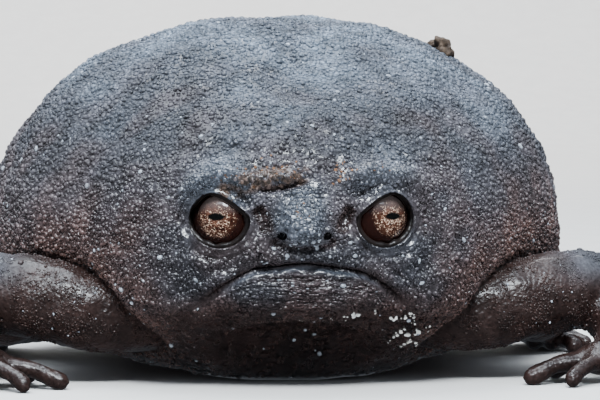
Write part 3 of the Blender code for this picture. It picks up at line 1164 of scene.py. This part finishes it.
@dataclass(frozen=True)
class Tones:
    """How the skin's colour and wetness change from place to place, with painted shade and painted
    highlights among the colours.
    """

    brown_up_to: Pair = (3.5, 6.8)
    brown_flank: float = 0.9
    brown_patches: float = 0.35
    limb_edge: Pair = (0.1, 0.6)
    # how dark the legs are: their own darker skin, partly painted shade
    limb_gloom: float = 0.9
    # dust and painted sky sheen on the top and back
    back_dust_and_sheen: Pair = (16.0, 26.0)
    # painted sheen from mid-height up
    upper_sheen: Pair = (8.0, 14.0)
    # painted highlights on the nose pad, the hoods and the forehead
    highlight_spots: tuple[tuple[float, float, float, float], ...] = (
        (0.0, 11.0, 1.6, 0.14),
        (5.6, 14.6, 2.0, 0.24),
        (0.0, 13.4, 2.2, 0.16),
    )
    pale_elbow: float = 0.16
    # painted highlight along the lower lip
    lip_highlight: float = 0.28
    lip_depth: float = 0.26
    lip_width: float = 0.2
    crust_edge: Pair = (0.3, 0.95)
    damp_up_to: float = 10.5
    damp_rise_in_front: float = 2.5
    drying_height: float = 4.5
    crease_depth: Pair = (0.06, 0.42)
    # painted shade in the creases of the face
    crease_gloom: float = 0.8
    elbow_fade: float = 0.85

    def write(self, piece: Piece) -> None:
        """Keeps the tones at each point of a piece, for its finish to read.

        Args:
            piece: the skin or its granules.
        """
        points = points_of(piece)
        out, forward, up = np.abs(points[:, 0]), -points[:, 1], points[:, 2]
        limb = from_limbs(points)
        elbow = (1 - ramp(limb, *self.limb_edge)) * ramp(out, 16.5, 21.0) * ramp(up, 5.6, 8.2)
        damp_up_to = self.damp_up_to + self.damp_rise_in_front * ramp(forward, 14.0, 18.0)
        crust = away_from(FACE.crust, points[:, (0, 2)])
        caked = (1 - ramp(crust, *self.crust_edge)) * ramp(waves(points, 0.9, 25), -0.7, 0.5)
        write_shares(piece, "crust", caked * ramp(forward, 14.0, 16.0))
        write_shares(piece, "dryness", np.maximum(ramp(up - damp_up_to, 0.0, self.drying_height), elbow))
        # painted shade under the chin and in creases, and the darker legs
        write_shares(piece, "gloom", self.gloom(points, limb, elbow))
        write_shares(piece, "limb", 1 - ramp(limb, *self.limb_edge))
        write_shares(piece, "warmth", self.warmth(points, limb) * (1 - self.elbow_fade * elbow))
        # dust, with painted sheen and painted highlights
        write_shares(piece, "dust_and_sheen", self.dust_and_sheen(points, elbow))

    def warmth(self, points: Array, limb: Array) -> Array:
        """How brown the skin is.

        Args:
            points: places on the skin.
            limb: how far they lie from the legs.

        Returns:
            Shares between 0 and 1.
        """
        low = 0.9 * (1 - ramp(points[:, 2], *self.brown_up_to))
        flank = self.brown_flank * ramp(np.abs(points[:, 0]), 7.0, 17.0)
        flank = flank * (1 - ramp(points[:, 2], 8.0, 18.0))
        patch = self.brown_patches * ramp(waves(points, 4.0, 21), -0.6, 1.2)
        return np.clip(low + flank + patch + 0.9 * (1 - ramp(limb, 0.05, 0.6)), 0, 1)

    def dust_and_sheen(self, points: Array, elbow: Array) -> Array:
        """How pale the skin is: dust and painted sky sheen on the top and back, painted highlights on the
        face, dust on the elbows.

        Args:
            points: places on the skin.
            elbow: the share of each that belongs to an elbow.

        Returns:
            Shares between 0 and 1.
        """
        level = points[:, 2] + 1.3 * waves(points, 9.0, 24)
        # painted light: the back paler towards the frog's right side, where more light falls
        lit_side = 1.05 - 0.25 * ramp(points[:, 0], -4.0, 18.0)
        # dust and painted sky sheen, paler higher up, and a painted sheen from mid-height up
        high = 0.7 * ramp(level, *self.back_dust_and_sheen) * lit_side + 0.12 * ramp(level, *self.upper_sheen)
        sides = np.column_stack([np.abs(points[:, 0]), points[:, 2]])
        # painted highlights on the nose pad, the hoods and the forehead
        for x, z, width, amount in self.highlight_spots:
            away = np.linalg.norm(sides - np.array([x, z]), axis=1)
            high += amount * np.exp(-((away / width) ** 2)) * ramp(-points[:, 1], 14.0, 17.0)
        blotch = ramp(waves(points, 7.0, 22), -0.9, 0.9)
        pale = np.maximum(high * (0.55 + 0.45 * blotch), self.pale_elbow * elbow)
        # painted highlight along the lower lip, just under the mouth
        lip = np.exp(-(((FACE.below_mouth(points) - self.lip_depth) / self.lip_width) ** 2))
        lip = lip * (1 - ramp(np.abs(points[:, 0]), 4.0, 6.0))
        return np.clip(np.maximum(pale, self.lip_highlight * lip * ramp(-points[:, 1], 16.0, 18.0)), 0, 1)

    def gloom(self, points: Array, limb: Array, elbow: Array) -> Array:
        """Painted shade under the chin and in the creases of the face, and the darker skin of the legs,
        partly painted shade.

        Args:
            points: places on the skin.
            limb: how far they lie from the legs.
            elbow: the share of each that belongs to an elbow.

        Returns:
            Shares between 0 and 1.
        """
        # painted shadow under the chin, where the throat lies in shade
        shadow_under_chin = (1 - ramp(points[:, 2], 4.2, 7.0)) * (1 - ramp(np.abs(points[:, 0]), 7.0, 12.0))
        # the legs' darker skin, partly painted shade
        legs = self.limb_gloom * (1 - ramp(limb, 0.05, 0.7)) * (1 - elbow)
        gloom = np.maximum(shadow_under_chin * ramp(-points[:, 1], 9.0, 12.0), legs)
        front = ramp(-points[:, 1], 15.0, 18.0)
        near = front > 0
        # painted shade in the creases of the face
        crease = np.zeros(len(points))
        crease[near] = ramp(-FACE.relief(points[near][:, (0, 2)]), *self.crease_depth) * front[near]
        return np.maximum(gloom, self.crease_gloom * crease)


# Finishes


class Nodes:
    """A material under construction."""

    def __init__(self, name: str) -> None:
        """Starts a material with its Principled shader.

        Args:
            name: the material's name.
        """
        self.material = bpy.data.materials.new(name)
        self.material.use_nodes = True
        self.tree = self.material.node_tree
        self.shader = self.tree.nodes["Principled BSDF"]

    def feed(self, target: Socket, value: object) -> None:
        """Gives an input a link, a colour or a constant.

        Args:
            target: the input.
            value: a socket, red, green and blue, or what the input holds.
        """
        if isinstance(value, Socket):
            self.tree.links.new(value, target)
        elif target.type == "RGBA":
            target.default_value = (*value, 1)
        else:
            target.default_value = value

    def add(self, kind: str, **values: object) -> bpy.types.Node:
        """Adds a node.

        Args:
            kind: the node's type.
            values: properties of the node, and inputs by name with spaces as underscores.

        Returns:
            The node.
        """
        node = self.tree.nodes.new(kind)
        for key, value in values.items():
            if hasattr(node, key):
                setattr(node, key, value)
            else:
                self.feed(node.inputs[key.replace("_", " ")], value)
        return node

    def place(self, scale: float = 1.0, location: Triple = (0, 0, 0),
              rotation: Triple = (0, 0, 0)) -> Socket:
        """Object coordinates, scaled, turned and moved.

        Args:
            scale: the factor on all three.
            location: what is added afterwards, in metres.
            rotation: the turn in between, in radians.

        Returns:
            The vector.
        """
        coordinates = self.add("ShaderNodeTexCoord")
        return self.add(
            "ShaderNodeMapping",
            Vector=coordinates.outputs["Object"],
            Scale=(scale,) * 3,
            Rotation=rotation,
            Location=location,
        ).outputs[0]

    def noise(self, size: float, detail: float = 3.0, roughness: float = 0.55) -> Socket:
        """Noise whose patches are about size millimetres across.

        Args:
            size: the patches' size.
            detail: how many finer layers it has.
            roughness: how strong they are.

        Returns:
            The value.
        """
        node = self.add("ShaderNodeTexNoise", Vector=self.place(), Detail=detail, Roughness=roughness)
        node.inputs["Scale"].default_value = 1 / (size * MM)
        return node.outputs["Fac"]

    def spread(self, value: Socket, low: float, high: float, to_low: float = 0.0,
               to_high: float = 1.0) -> Socket:
        """Maps a value from one range to another, and holds it there.

        Args:
            value: the value.
            low: the start of its range.
            high: the end of its range.
            to_low: the result at the start.
            to_high: the result at the end.

        Returns:
            The new value.
        """
        node = self.add("ShaderNodeMapRange", Value=value)
        for name, number in (("From Min", low), ("From Max", high), ("To Min", to_low), ("To Max", to_high)):
            node.inputs[name].default_value = number
        return node.outputs[0]

    def share(self, name: str) -> Socket:
        """A number that the mesh keeps at its points."""
        return self.add("ShaderNodeAttribute", attribute_name=name).outputs["Fac"]

    def mix(self, factor: Socket | float, first: object, second: object,
            blend: str = "MIX") -> Socket:
        """Mixes two colours.

        Args:
            factor: the share of the second.
            first: a colour or a socket.
            second: a colour or a socket.
            blend: how they are mixed.

        Returns:
            The colour.
        """
        node = self.tree.nodes.new("ShaderNodeMix")
        node.data_type = "RGBA"
        node.blend_type = blend
        for index, value in ((0, factor), (6, first), (7, second)):
            self.feed(node.inputs[index], value)
        return node.outputs[2]

    def toned(self, colour: Socket, tone: Socket) -> Socket:
        """A colour made darker or lighter by a factor."""
        grey = self.add("ShaderNodeCombineColor", Red=tone, Green=tone, Blue=tone).outputs[0]
        return self.mix(1.0, colour, grey, "MULTIPLY")

    def mottled(self, size: float, first: Triple, second: Triple) -> Socket:
        """Soft patches of two colours."""
        return self.mix(self.spread(self.noise(size), 0.35, 0.65), first, second)

    def patches(self, size: float, to_low: float, to_high: float, detail: float = 3.0) -> Socket:
        """Noise spread over a range."""
        return self.spread(self.noise(size, detail), 0.3, 0.7, to_low, to_high)

    def math(self, operation: str, *values: Socket | float) -> Socket:
        """A sum, product or other operation.

        Args:
            operation: Blender's name of it.
            values: its inputs.

        Returns:
            The result.
        """
        node = self.add("ShaderNodeMath", operation=operation)
        for i, value in enumerate(values):
            self.feed(node.inputs[i], value)
        return node.outputs[0]

    def bump(self, height: Socket, depth: float,
             under: Socket | None = None,
             strength: Socket | float = 1.0) -> Socket:
        """Raises the surface a little.

        Args:
            height: a value from 0 to 1.
            depth: what 1 stands for, in millimetres.
            under: the normal that it adds to.
            strength: how much of it shows.

        Returns:
            The normal.
        """
        node = self.add("ShaderNodeBump", Height=height, Strength=strength, Distance=depth * MM)
        if under is not None:
            self.tree.links.new(under, node.inputs["Normal"])
        return node.outputs[0]

    def finish(self, colour: object, roughness: object, normal: Socket | None = None,
               **sockets: object) -> bpy.types.Material:
        """Connects the shader.

        Args:
            colour: the base colour.
            roughness: the roughness.
            normal: the normal, if it is bumped.
            sockets: values of other inputs, by name with spaces as underscores.

        Returns:
            The material.
        """
        sockets |= {"Base Color": colour, "Roughness": roughness, "Normal": normal}
        for name, value in sockets.items():
            if value is not None:
                self.feed(self.shader.inputs[name.replace("_", " ")], value)
        return self.material


@dataclass(frozen=True)
class GranularSkin:
    """Damp charcoal skin, browner below, painted shade under the chin, in creases and on the legs, dust and
    painted sheen on the back.
    """

    charcoal: Triple = (0.028, 0.027, 0.032)
    brown: Triple = (0.062, 0.034, 0.029)
    # the dark colour of the painted shade and of the legs
    black: Triple = (0.019, 0.010, 0.0085)
    # the pale colour of dust and of painted sky sheen
    dust_and_sky_sheen: Triple = (0.15, 0.185, 0.235)
    # the colour of the painted highlights on wart tops
    glint: Triple = (0.40, 0.44, 0.50)
    soil: Triple = (0.115, 0.078, 0.062)
    grain_size: float = 0.3

    def make(self) -> bpy.types.Material:
        """Builds the material.

        Returns:
            The material.
        """
        nodes = Nodes("damp_granular_skin")
        colour = nodes.mix(nodes.share("warmth"), self.charcoal, self.brown)
        # dust, with painted sky sheen and painted highlights
        colour = nodes.mix(nodes.share("dust_and_sheen"), colour, self.dust_and_sky_sheen)
        # painted shade: darker towards black under the chin, in creases and on the legs
        colour = nodes.mix(nodes.share("gloom"), colour, self.black)
        colour = nodes.mix(nodes.share("crust"), colour, self.soil)
        patches = nodes.patches(1.6, 0.6, 1.45)
        fine = nodes.patches(0.22, 0.65, 1.4, detail=2.0)
        bead = nodes.spread(nodes.share("shade"), 0.0, 1.0, 0.75, 1.35)
        tone = nodes.math("MULTIPLY", nodes.math("MULTIPLY", patches, fine), bead)
        colour = nodes.toned(colour, tone)
        # painted highlights on the tops of some warts
        colour = nodes.mix(nodes.share("glint"), colour, self.glint)
        damp = nodes.patches(0.8, 0.14, 0.32)
        dry = nodes.math("MULTIPLY", nodes.share("dryness"), 0.36)
        dull = nodes.math("MULTIPLY", nodes.share("limb"), 0.1)
        roughness = nodes.math("ADD", damp, nodes.math("ADD", dry, dull))
        cells = nodes.add("ShaderNodeTexVoronoi", Vector=nodes.place(), Scale=1 / (self.grain_size * MM))
        strength = nodes.spread(nodes.share("limb"), 0.0, 1.0, 1.0, 0.4)
        normal = nodes.bump(nodes.noise(0.7, 2.0, 0.5), 0.25, strength=strength)
        grain = nodes.spread(cells.outputs["Distance"], 0.0, 0.8, 1.0, 0.0)
        normal = nodes.bump(grain, 0.1, under=normal, strength=strength)
        normal = nodes.bump(nodes.noise(0.3, 2.0), 0.07, under=normal)
        dry_or_limb = nodes.math("MAXIMUM", nodes.share("limb"), nodes.share("dryness"))
        coat = nodes.spread(dry_or_limb, 0.0, 1.0, 0.75, 0.2)
        return nodes.finish(
            colour, roughness, normal, Coat_Weight=coat, Coat_Roughness=0.05, Specular_IOR_Level=0.3
        )


@dataclass(frozen=True)
class LidRim:
    """The smooth, wet rim of the lids."""

    colour: Triple = (0.006, 0.005, 0.005)
    worn: Triple = (0.014, 0.010, 0.009)

    def make(self) -> bpy.types.Material:
        """Builds the material.

        Returns:
            The material.
        """
        nodes = Nodes("lid_rim")
        tone = nodes.mottled(0.5, self.colour, self.worn)
        normal = nodes.bump(nodes.noise(0.35, 3.0), 0.08)
        return nodes.finish(tone, 0.3, normal, Coat_Weight=0.1, Coat_Roughness=0.1, Specular_IOR_Level=0.16)


@dataclass(frozen=True)
class Iris:
    """A dark copper eye with fine pale flecks, a level pupil and a paler top that partly paints the sky's
    reflection.
    """

    iris_radius: float = 1.42
    pupil_half_width: float = 0.66
    pupil_half_height: float = 0.27
    deep: Triple = (0.016, 0.005, 0.003)
    copper: Triple = (0.10, 0.038, 0.022)
    fleck: Triple = (0.58, 0.42, 0.32)
    # paler top of the iris: partly its own colour, partly a painted reflection of the sky
    upper: Triple = (0.15, 0.125, 0.12)
    rim: Triple = (0.012, 0.004, 0.003)

    def make(self, side: Side) -> bpy.types.Material:
        """Builds the material of one eye.

        Args:
            side: which eye.

        Returns:
            The material.
        """
        nodes = Nodes(f"iris_{side.label}")
        out = EYE.gaze_out[0] if side is Side.LEFT else EYE.gaze_out[1]
        turn = Matrix.Rotation(EYE.gaze_up, 3, "X") @ Matrix.Rotation(-side.value * out, 3, "Z")
        centre = Vector((side.value * EYE.centre[0], EYE.centre[1], EYE.centre[2])) * MM
        place = nodes.place(1.0, tuple(-(turn @ centre)), tuple(turn.to_euler("XYZ")))
        axes = nodes.add("ShaderNodeSeparateXYZ", Vector=place)
        across = nodes.math("DIVIDE", axes.outputs["X"], MM)
        up = nodes.math("DIVIDE", axes.outputs["Z"], MM)
        aside = nodes.math("ABSOLUTE", across)
        away = nodes.math("ABSOLUTE", up)
        squares = nodes.math("ADD", nodes.math("POWER", aside, 2.0), nodes.math("POWER", away, 2.0))
        reach = nodes.math("SQRT", squares)
        wide = nodes.math("DIVIDE", aside, self.pupil_half_width)
        tall = nodes.math("DIVIDE", away, self.pupil_half_height)
        pupil = nodes.math("ADD", nodes.math("POWER", wide, 2.0), nodes.math("POWER", tall, 1.6))
        flecks = nodes.noise(0.085, 2.0, 0.6)
        clumps = nodes.spread(nodes.noise(0.45, 2.0), 0.35, 0.65, 0.06, -0.03)
        density = nodes.math("ADD", nodes.spread(reach, 0.35, self.iris_radius, 0.53, 0.59),
                             nodes.math("ADD", clumps, nodes.spread(up, -0.2, 0.8, 0.0, 0.06)))
        over = nodes.math("SUBTRACT", flecks, density)
        copper = nodes.mottled(0.35, self.deep, self.copper)
        shade = nodes.spread(reach, 0.5, self.iris_radius, 0.9, 0.0)
        iris = nodes.mix(shade, self.deep, copper)
        # the top of the iris paler: partly its own colour, partly a painted reflection of the sky
        iris = nodes.mix(nodes.spread(up, 0.15, 1.3, 0.0, 0.6), iris, self.upper)
        iris = nodes.mix(nodes.spread(over, 0.0, 0.06), iris, self.fleck)
        edge = nodes.spread(reach, self.iris_radius - 0.12, self.iris_radius + 0.05)
        colour = nodes.mix(edge, iris, self.rim)
        colour = nodes.mix(nodes.spread(pupil, 0.6, 1.3, 1.0, 0.0), colour, (0.002, 0.002, 0.002))
        return nodes.finish(colour, 0.3, None, Coat_Weight=1.0, Coat_Roughness=0.02, Coat_IOR=1.38,
                            Specular_IOR_Level=0.0)


@dataclass(frozen=True)
class Mineral:
    """Grains of sand or crumbs of soil, each a little different."""

    name: str
    first: Triple
    second: Triple
    roughness: float
    size: float

    def make(self) -> bpy.types.Material:
        """Builds the material.

        Returns:
            The material.
        """
        nodes = Nodes(self.name)
        tone = nodes.mottled(self.size, self.first, self.second)
        shade = nodes.patches(self.size / 5, 0.7, 1.2)
        normal = nodes.bump(nodes.noise(self.size / 8, 2.0), self.size * 0.05)
        return nodes.finish(nodes.toned(tone, shade), self.roughness, normal)


SAND = Mineral("sand", (0.62, 0.62, 0.60), (0.80, 0.79, 0.76), 0.35, 0.4)
SOIL = Mineral("soil", (0.10, 0.05, 0.028), (0.24, 0.11, 0.05), 0.8, 0.3)
CLOD = Mineral("clod", (0.030, 0.019, 0.013), (0.085, 0.055, 0.035), 0.85, 0.5)
CRUST = Mineral("crust", (0.014, 0.011, 0.010), (0.060, 0.040, 0.030), 0.6, 0.3)


# Eyes, grains and crumbs


@dataclass
class Eye:
    """One eyeball with the rim of its lids."""

    side: Side
    sides: int = 96
    rings: int = 64
    rim_steps: int = 120
    rim_sides: int = 16
    rim_inset: float = -0.05
    rim_lift: float = 0.2

    def build(self) -> list[Piece]:
        """Makes and dresses the eyeball and the rim.

        Returns:
            Both pieces.
        """
        x, y, z = EYE.centre
        centre = (self.side.value * x, y, z)
        globe = ball(f"eyeball_{self.side.label}", centre, (EYE.radius,) * 3, self.sides, self.rings)
        globe.data.shade_smooth()
        globe.data.materials.append(Iris().make(self.side))
        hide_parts(f"eye_{self.side.label}")
        rim = self.rim()
        return [globe, rim]

    def rim(self) -> Piece:
        """The smooth rim of both lids, thicker below.

        Returns:
            The new object.
        """
        rim = added(
            f"lid_rim_{self.side.label}",
            bpy.ops.mesh.primitive_torus_add,
            major_segments=self.rim_steps,
            minor_segments=self.rim_sides,
            major_radius=1,
            minor_radius=0.25,
        )
        unit = points_of(rim) * MM
        angle = np.arctan2(unit[:, 1], unit[:, 0])
        tube = np.arctan2(unit[:, 2], np.hypot(unit[:, 0], unit[:, 1]) - 1)
        spine = self.on_ball(EYE.opening(angle, self.rim_inset))
        ahead = self.on_ball(EYE.opening(angle + 0.02, self.rim_inset))
        outward = unit_rows(spine - np.array(EYE.centre))
        beside = unit_rows(np.cross(ahead - spine, outward))
        lower = 0.5 - 0.5 * np.sin(angle)
        thick = EYE.rim_radius * (0.8 + 0.3 * lower + 0.2 * waves(spine, 0.9, 61))
        points = spine + outward * (thick * 0.8 * np.sin(tube))[:, None]
        points += beside * (thick * np.cos(tube))[:, None]
        move_points(rim, points * np.array([self.side.value, 1.0, 1.0]))
        only(rim)
        bpy.ops.object.mode_set(mode="EDIT")
        bpy.ops.mesh.select_all(action="SELECT")
        bpy.ops.mesh.normals_make_consistent(inside=False)
        bpy.ops.object.mode_set(mode="OBJECT")
        rim.data.shade_smooth()
        rim.data.materials.append(LidRim().make())
        return rim

    def on_ball(self, places: Array) -> Array:
        """Lays places seen from the front on a ball just over the eyeball.

        Args:
            places: rows of x and z.

        Returns:
            Rows of x, y and z.
        """
        reach = EYE.radius + self.rim_lift
        across = places[:, 0] - EYE.centre[0]
        up = places[:, 1] - EYE.centre[2]
        depth = np.sqrt(np.clip(reach**2 - across**2 - up**2, 0.01, None))
        return np.column_stack([places[:, 0], EYE.centre[1] - depth, places[:, 1]])


@dataclass
class Crumbs:
    """Small irregular bodies that stick to the skin, in one joined piece."""

    name: str
    finish: Mineral
    spots: tuple[Triple, ...]
    spread: float
    per_spot: int
    low: float
    high: float
    seed: int
    flatness: float = 0.75
    detail: int = 1

    def build(self, skin: Piece) -> Piece:
        """Makes the crumbs where a line from the front meets the skin.

        Args:
            skin: the skin they stick to.

        Returns:
            The joined piece.
        """
        chance = np.random.default_rng(self.seed)
        pieces = []
        for x, z, size in self.spots:
            for k in range(self.per_spot):
                shift = chance.normal(0, self.spread, 2) if k or self.per_spot > 1 else np.zeros(2)
                start = Vector(((x + shift[0]) * MM, IN_FRONT, max(z + shift[1], 0.3) * MM))
                found, place, facing, _ = skin.ray_cast(start, Vector((0, 1, 0)))
                if found:
                    radius = chance.uniform(self.low, self.high) * size
                    pieces.append(self.crumb(place / MM, facing, radius, chance))
        crumbs = joined(self.name, pieces)
        pattern = self.pattern()
        map_patches(crumbs, points_of(crumbs).reshape(-1, len(pattern), 3).mean(axis=1), pattern)
        crumbs.data.materials.append(self.finish.make())
        log.info("%s: %d", self.name, len(pieces))
        return crumbs

    def crumb(self, place: Vector, facing: Vector, radius: float, chance: np.random.Generator) -> Piece:
        """One crumb with broken faces.

        Args:
            place: where it sticks.
            facing: the way the skin faces there.
            radius: its size.
            chance: the source of its shape.

        Returns:
            The new object.
        """
        piece = self.plain_ball()
        unit = points_of(piece) * MM
        for _ in range(5):
            way = chance.normal(size=3)
            way /= np.linalg.norm(way)
            over = np.clip(unit @ way - chance.uniform(0.55, 0.8), 0, None)
            unit -= over[:, None] * way
        unit *= chance.uniform(0.75, 1.2, 3)
        turn = np.array(Vector(facing).to_track_quat("Z", "Y").to_matrix())
        unit[:, 2] *= self.flatness
        points = unit @ turn.T * radius + np.array(place) + np.array(facing) * radius * 0.35
        move_points(piece, points)
        return piece

    def plain_ball(self) -> Piece:
        """The ball of radius 1 that a crumb is made from."""
        ico_sphere = bpy.ops.mesh.primitive_ico_sphere_add
        return added("crumb", ico_sphere, subdivisions=self.detail, radius=1, calc_uvs=False)

    def pattern(self) -> Array:
        """Where the points of a crumb lie in its patch, spread out flat from its top.

        Returns:
            Rows of two numbers from -1 to 1.
        """
        piece = self.plain_ball()
        unit = points_of(piece) * MM
        bpy.data.objects.remove(piece)
        turn = np.arccos(np.clip(unit[:, 2], -1, 1)) / math.pi
        out = np.hypot(unit[:, 0], unit[:, 1]).clip(1e-6)
        return unit[:, :2] * (turn / out)[:, None]


@dataclass
class Clod:
    """The small lump of soil on the back."""

    place: Pair = (12.2, -0.5)
    radii: Triple = (1.15, 0.95, 0.75)
    lift: float = 0.15

    def build(self, skin: Piece) -> Piece:
        """Makes the lump where a line from above meets the skin.

        Args:
            skin: the skin it sticks to.

        Returns:
            The new object.
        """
        x, y = self.place
        _, place, facing, _ = skin.ray_cast(Vector((x * MM, y * MM, 0.05)), Vector((0, 0, -1)))
        clod = added("soil_clod", bpy.ops.mesh.primitive_ico_sphere_add, subdivisions=5, radius=1)
        unit = points_of(clod) * MM
        unit *= (1 + 0.22 * waves(unit, 1.1, 41) + 0.09 * waves(unit, 0.4, 42))[:, None]
        turn = np.array(facing.to_track_quat("Z", "Y").to_matrix())
        middle = np.array(place / MM)
        move_points(clod, unit * np.array(self.radii) @ turn.T + middle + np.array(facing) * self.lift)
        clod.data.shade_smooth()
        clod.data.materials.append(CLOD.make())
        return clod


# Floor, lights and camera


@dataclass
class Studio:
    """A pale floor that curves up behind, soft light from above and the camera."""

    target: Triple = (0.0, -22.6, 13.0)
    azimuth: float = math.radians(-5.2)
    elevation: float = math.radians(2.0)
    distance: float = 170.0
    pixel: float = 0.066
    image_width: int = 600
    sideways: float = -5.5
    sensor: float = 36.0
    horizon: float = 0.12
    zenith: float = 1.3
    floor_size: float = 2600.0
    floor_front: float = -700.0
    bend_start: float = 700.0
    bend_radius: float = 400.0

    def build(self) -> None:
        """Makes the stage, the lights and the camera."""
        self.floor()
        self.light("overhead", (-60, 60, 340), (260, 200), 1.4, (0.84, 0.92, 1.0))
        self.light("front_sky", (-20, -210, 320), (460, 130), 1.4, (0.84, 0.92, 1.0))
        self.light("front_key", (-10, -260, 290), (170, 100), 2.5, (0.88, 0.95, 1.0))
        self.light("backdrop_wash", (0, 500, 700), (900, 300), 12.0, (1.0, 1.0, 1.0), (0, 1000, 200))
        self.world()
        self.camera()

    def floor(self) -> None:
        """The floor, swept up into a backdrop."""
        floor = added("floor", bpy.ops.mesh.primitive_grid_add, x_subdivisions=2, y_subdivisions=96, size=1)
        points = points_of(floor) * MM
        run = (points[:, 1] + 0.5) * self.floor_size + self.floor_front
        turn = np.clip((run - self.bend_start) / self.bend_radius, 0, math.pi / 2)
        past = np.clip(run - self.bend_start - self.bend_radius * math.pi / 2, 0, None)
        level = run < self.bend_start
        y = np.where(level, run, self.bend_start + self.bend_radius * np.sin(turn))
        z = np.where(level, 0, self.bend_radius * (1 - np.cos(turn))) + past
        move_points(floor, np.column_stack([points[:, 0] * self.floor_size, y, z]))
        floor.data.shade_smooth()
        nodes = Nodes("pale_floor")
        tone = nodes.mix(nodes.patches(6.0, 0.0, 1.0), (0.70, 0.685, 0.665), (0.74, 0.725, 0.70))
        floor.data.materials.append(nodes.finish(tone, 0.7, nodes.bump(nodes.noise(0.6), 0.02)))
        floor.visible_glossy = False

    def light(self, name: str, place: Triple, size: Pair, power: float,
              colour: Triple, aim: Triple = (0, -5, 10)) -> None:
        """A soft, rounded light.

        Args:
            name: the light's name.
            place: where it hangs.
            size: its width and height.
            power: in watts.
            colour: its tint.
            aim: what it faces.
        """
        lamp = bpy.data.lights.new(name, "AREA")
        lamp.shape = "ELLIPSE"
        lamp.size, lamp.size_y = (s * MM for s in size)
        lamp.energy = power
        lamp.color = colour
        holder = bpy.data.objects.new(name, lamp)
        bpy.context.collection.objects.link(holder)
        holder.location = Vector(place) * MM
        holder.rotation_mode = "QUATERNION"
        holder.rotation_quaternion = (Vector(place) - Vector(aim)).to_track_quat("Z", "Y")

    def world(self) -> None:
        """Soft pale light from all round, brighter from above."""
        world = bpy.data.worlds.new("studio")
        bpy.context.scene.world = world
        world.use_nodes = True
        tree = world.node_tree
        background = tree.nodes["Background"]
        background.inputs["Color"].default_value = (0.78, 0.87, 1.0, 1)
        direction = tree.nodes.new("ShaderNodeTexCoord")
        axes = tree.nodes.new("ShaderNodeSeparateXYZ")
        rise = tree.nodes.new("ShaderNodeMapRange")
        ends = {"From Min": 0.2, "From Max": 0.95, "To Min": self.horizon, "To Max": self.zenith}
        for name, number in ends.items():
            rise.inputs[name].default_value = number
        tree.links.new(direction.outputs["Generated"], axes.inputs[0])
        tree.links.new(axes.outputs["Z"], rise.inputs["Value"])
        tree.links.new(rise.outputs[0], background.inputs["Strength"])

    def camera(self) -> None:
        """The camera at the photo's angle and framing."""
        camera = bpy.data.cameras.new("camera")
        holder = bpy.data.objects.new("camera", camera)
        bpy.context.collection.objects.link(holder)
        back = Vector((
            math.sin(self.azimuth) * math.cos(self.elevation),
            -math.cos(self.azimuth) * math.cos(self.elevation),
            math.sin(self.elevation),
        ))
        holder.location = (Vector(self.target) + back * self.distance) * MM
        holder.rotation_mode = "QUATERNION"
        holder.rotation_quaternion = (-back).to_track_quat("-Z", "Y")
        camera.sensor_width = self.sensor
        camera.lens = self.sensor * self.distance / (self.image_width * self.pixel)
        camera.shift_x = self.sideways / self.image_width
        camera.clip_start = 0.001
        camera.dof.use_dof = False
        bpy.context.scene.camera = holder


SAND_SPOTS = (
    (0.1, 4.75, 1.0), (1.9, 4.9, 0.55), (2.9, 5.05, 0.7), (3.7, 5.1, 1.25), (5.1, 5.2, 0.8),
    (6.3, 4.8, 0.95), (7.0, 4.95, 1.15), (7.5, 5.05, 0.9), (7.9, 4.6, 0.8), (6.8, 3.4, 1.0),
    (7.2, 3.9, 1.1), (7.7, 3.55, 1.3), (8.0, 3.8, 0.9), (8.4, 3.6, 1.2), (7.9, 3.05, 1.2), (7.5, 2.7, 0.9),
    (8.6, 2.6, 1.0), (8.9, 3.9, 0.7), (6.4, 2.9, 0.6), (9.3, 3.2, 0.8),
)
CRUST_SPOTS = (
    (-4.3, 13.7, 0.8), (-3.8, 14.0, 1.0), (-3.2, 14.25, 1.1), (-2.6, 14.4, 1.1), (-2.0, 14.45, 1.0),
    (-1.4, 14.5, 1.0), (-0.8, 14.6, 0.8), (-0.3, 14.65, 0.6), (-4.6, 13.3, 0.7), (-5.0, 13.9, 0.6),
)
SOIL_SPOTS = (
    (-4.2, 14.5, 0.7), (-3.3, 14.8, 1.0), (-2.3, 14.95, 1.0), (-1.3, 15.05, 1.0), (-0.6, 14.95, 0.9),
    (2.4, 14.95, 1.2), (2.7, 14.8, 1.0), (-0.3, 12.3, 0.6), (0.0, 12.0, 0.5), (5.2, 15.0, 0.6),
    (-5.4, 14.5, 0.6),
)


def ride_all(pieces: list[Piece]) -> None:
    """Makes every piece ride on the one body."""
    for piece in pieces:
        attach(piece, ROOT)


def main() -> None:
    """Builds and dresses the frog, then the stage."""
    logging.basicConfig(level=logging.INFO, format="%(name)s: %(message)s")
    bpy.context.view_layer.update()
    skin = Skin().build()
    Tones().write(skin)
    finish = GranularSkin().make()
    skin.data.materials.clear()
    skin.data.materials.append(finish)
    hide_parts("torso", "head", *(f"{node}_{side.label}" for node in LIMB_NODES for side in Side))
    granules = Granules().build(skin)
    for piece in granules:
        piece.data.materials.append(finish)
    pieces = [skin, *granules]
    for side in Side:
        pieces += Eye(side).build()
        log.info("eye_%s: done", side.label)
    sand = Crumbs("sand_grains", SAND, SAND_SPOTS, 0.13, 4, 0.05, 0.16, seed=51, detail=2)
    soil = Crumbs("soil_specks", SOIL, SOIL_SPOTS, 0.34, 11, 0.04, 0.13, seed=52, flatness=0.5)
    crust = Crumbs("soil_crust", CRUST, CRUST_SPOTS, 0.2, 14, 0.06, 0.16, seed=53)
    extras = [sand.build(skin), soil.build(skin), crust.build(skin), Clod().build(skin)]
    ride_all(pieces + extras)
    Studio().build()


if __name__ == "__main__":
    main()
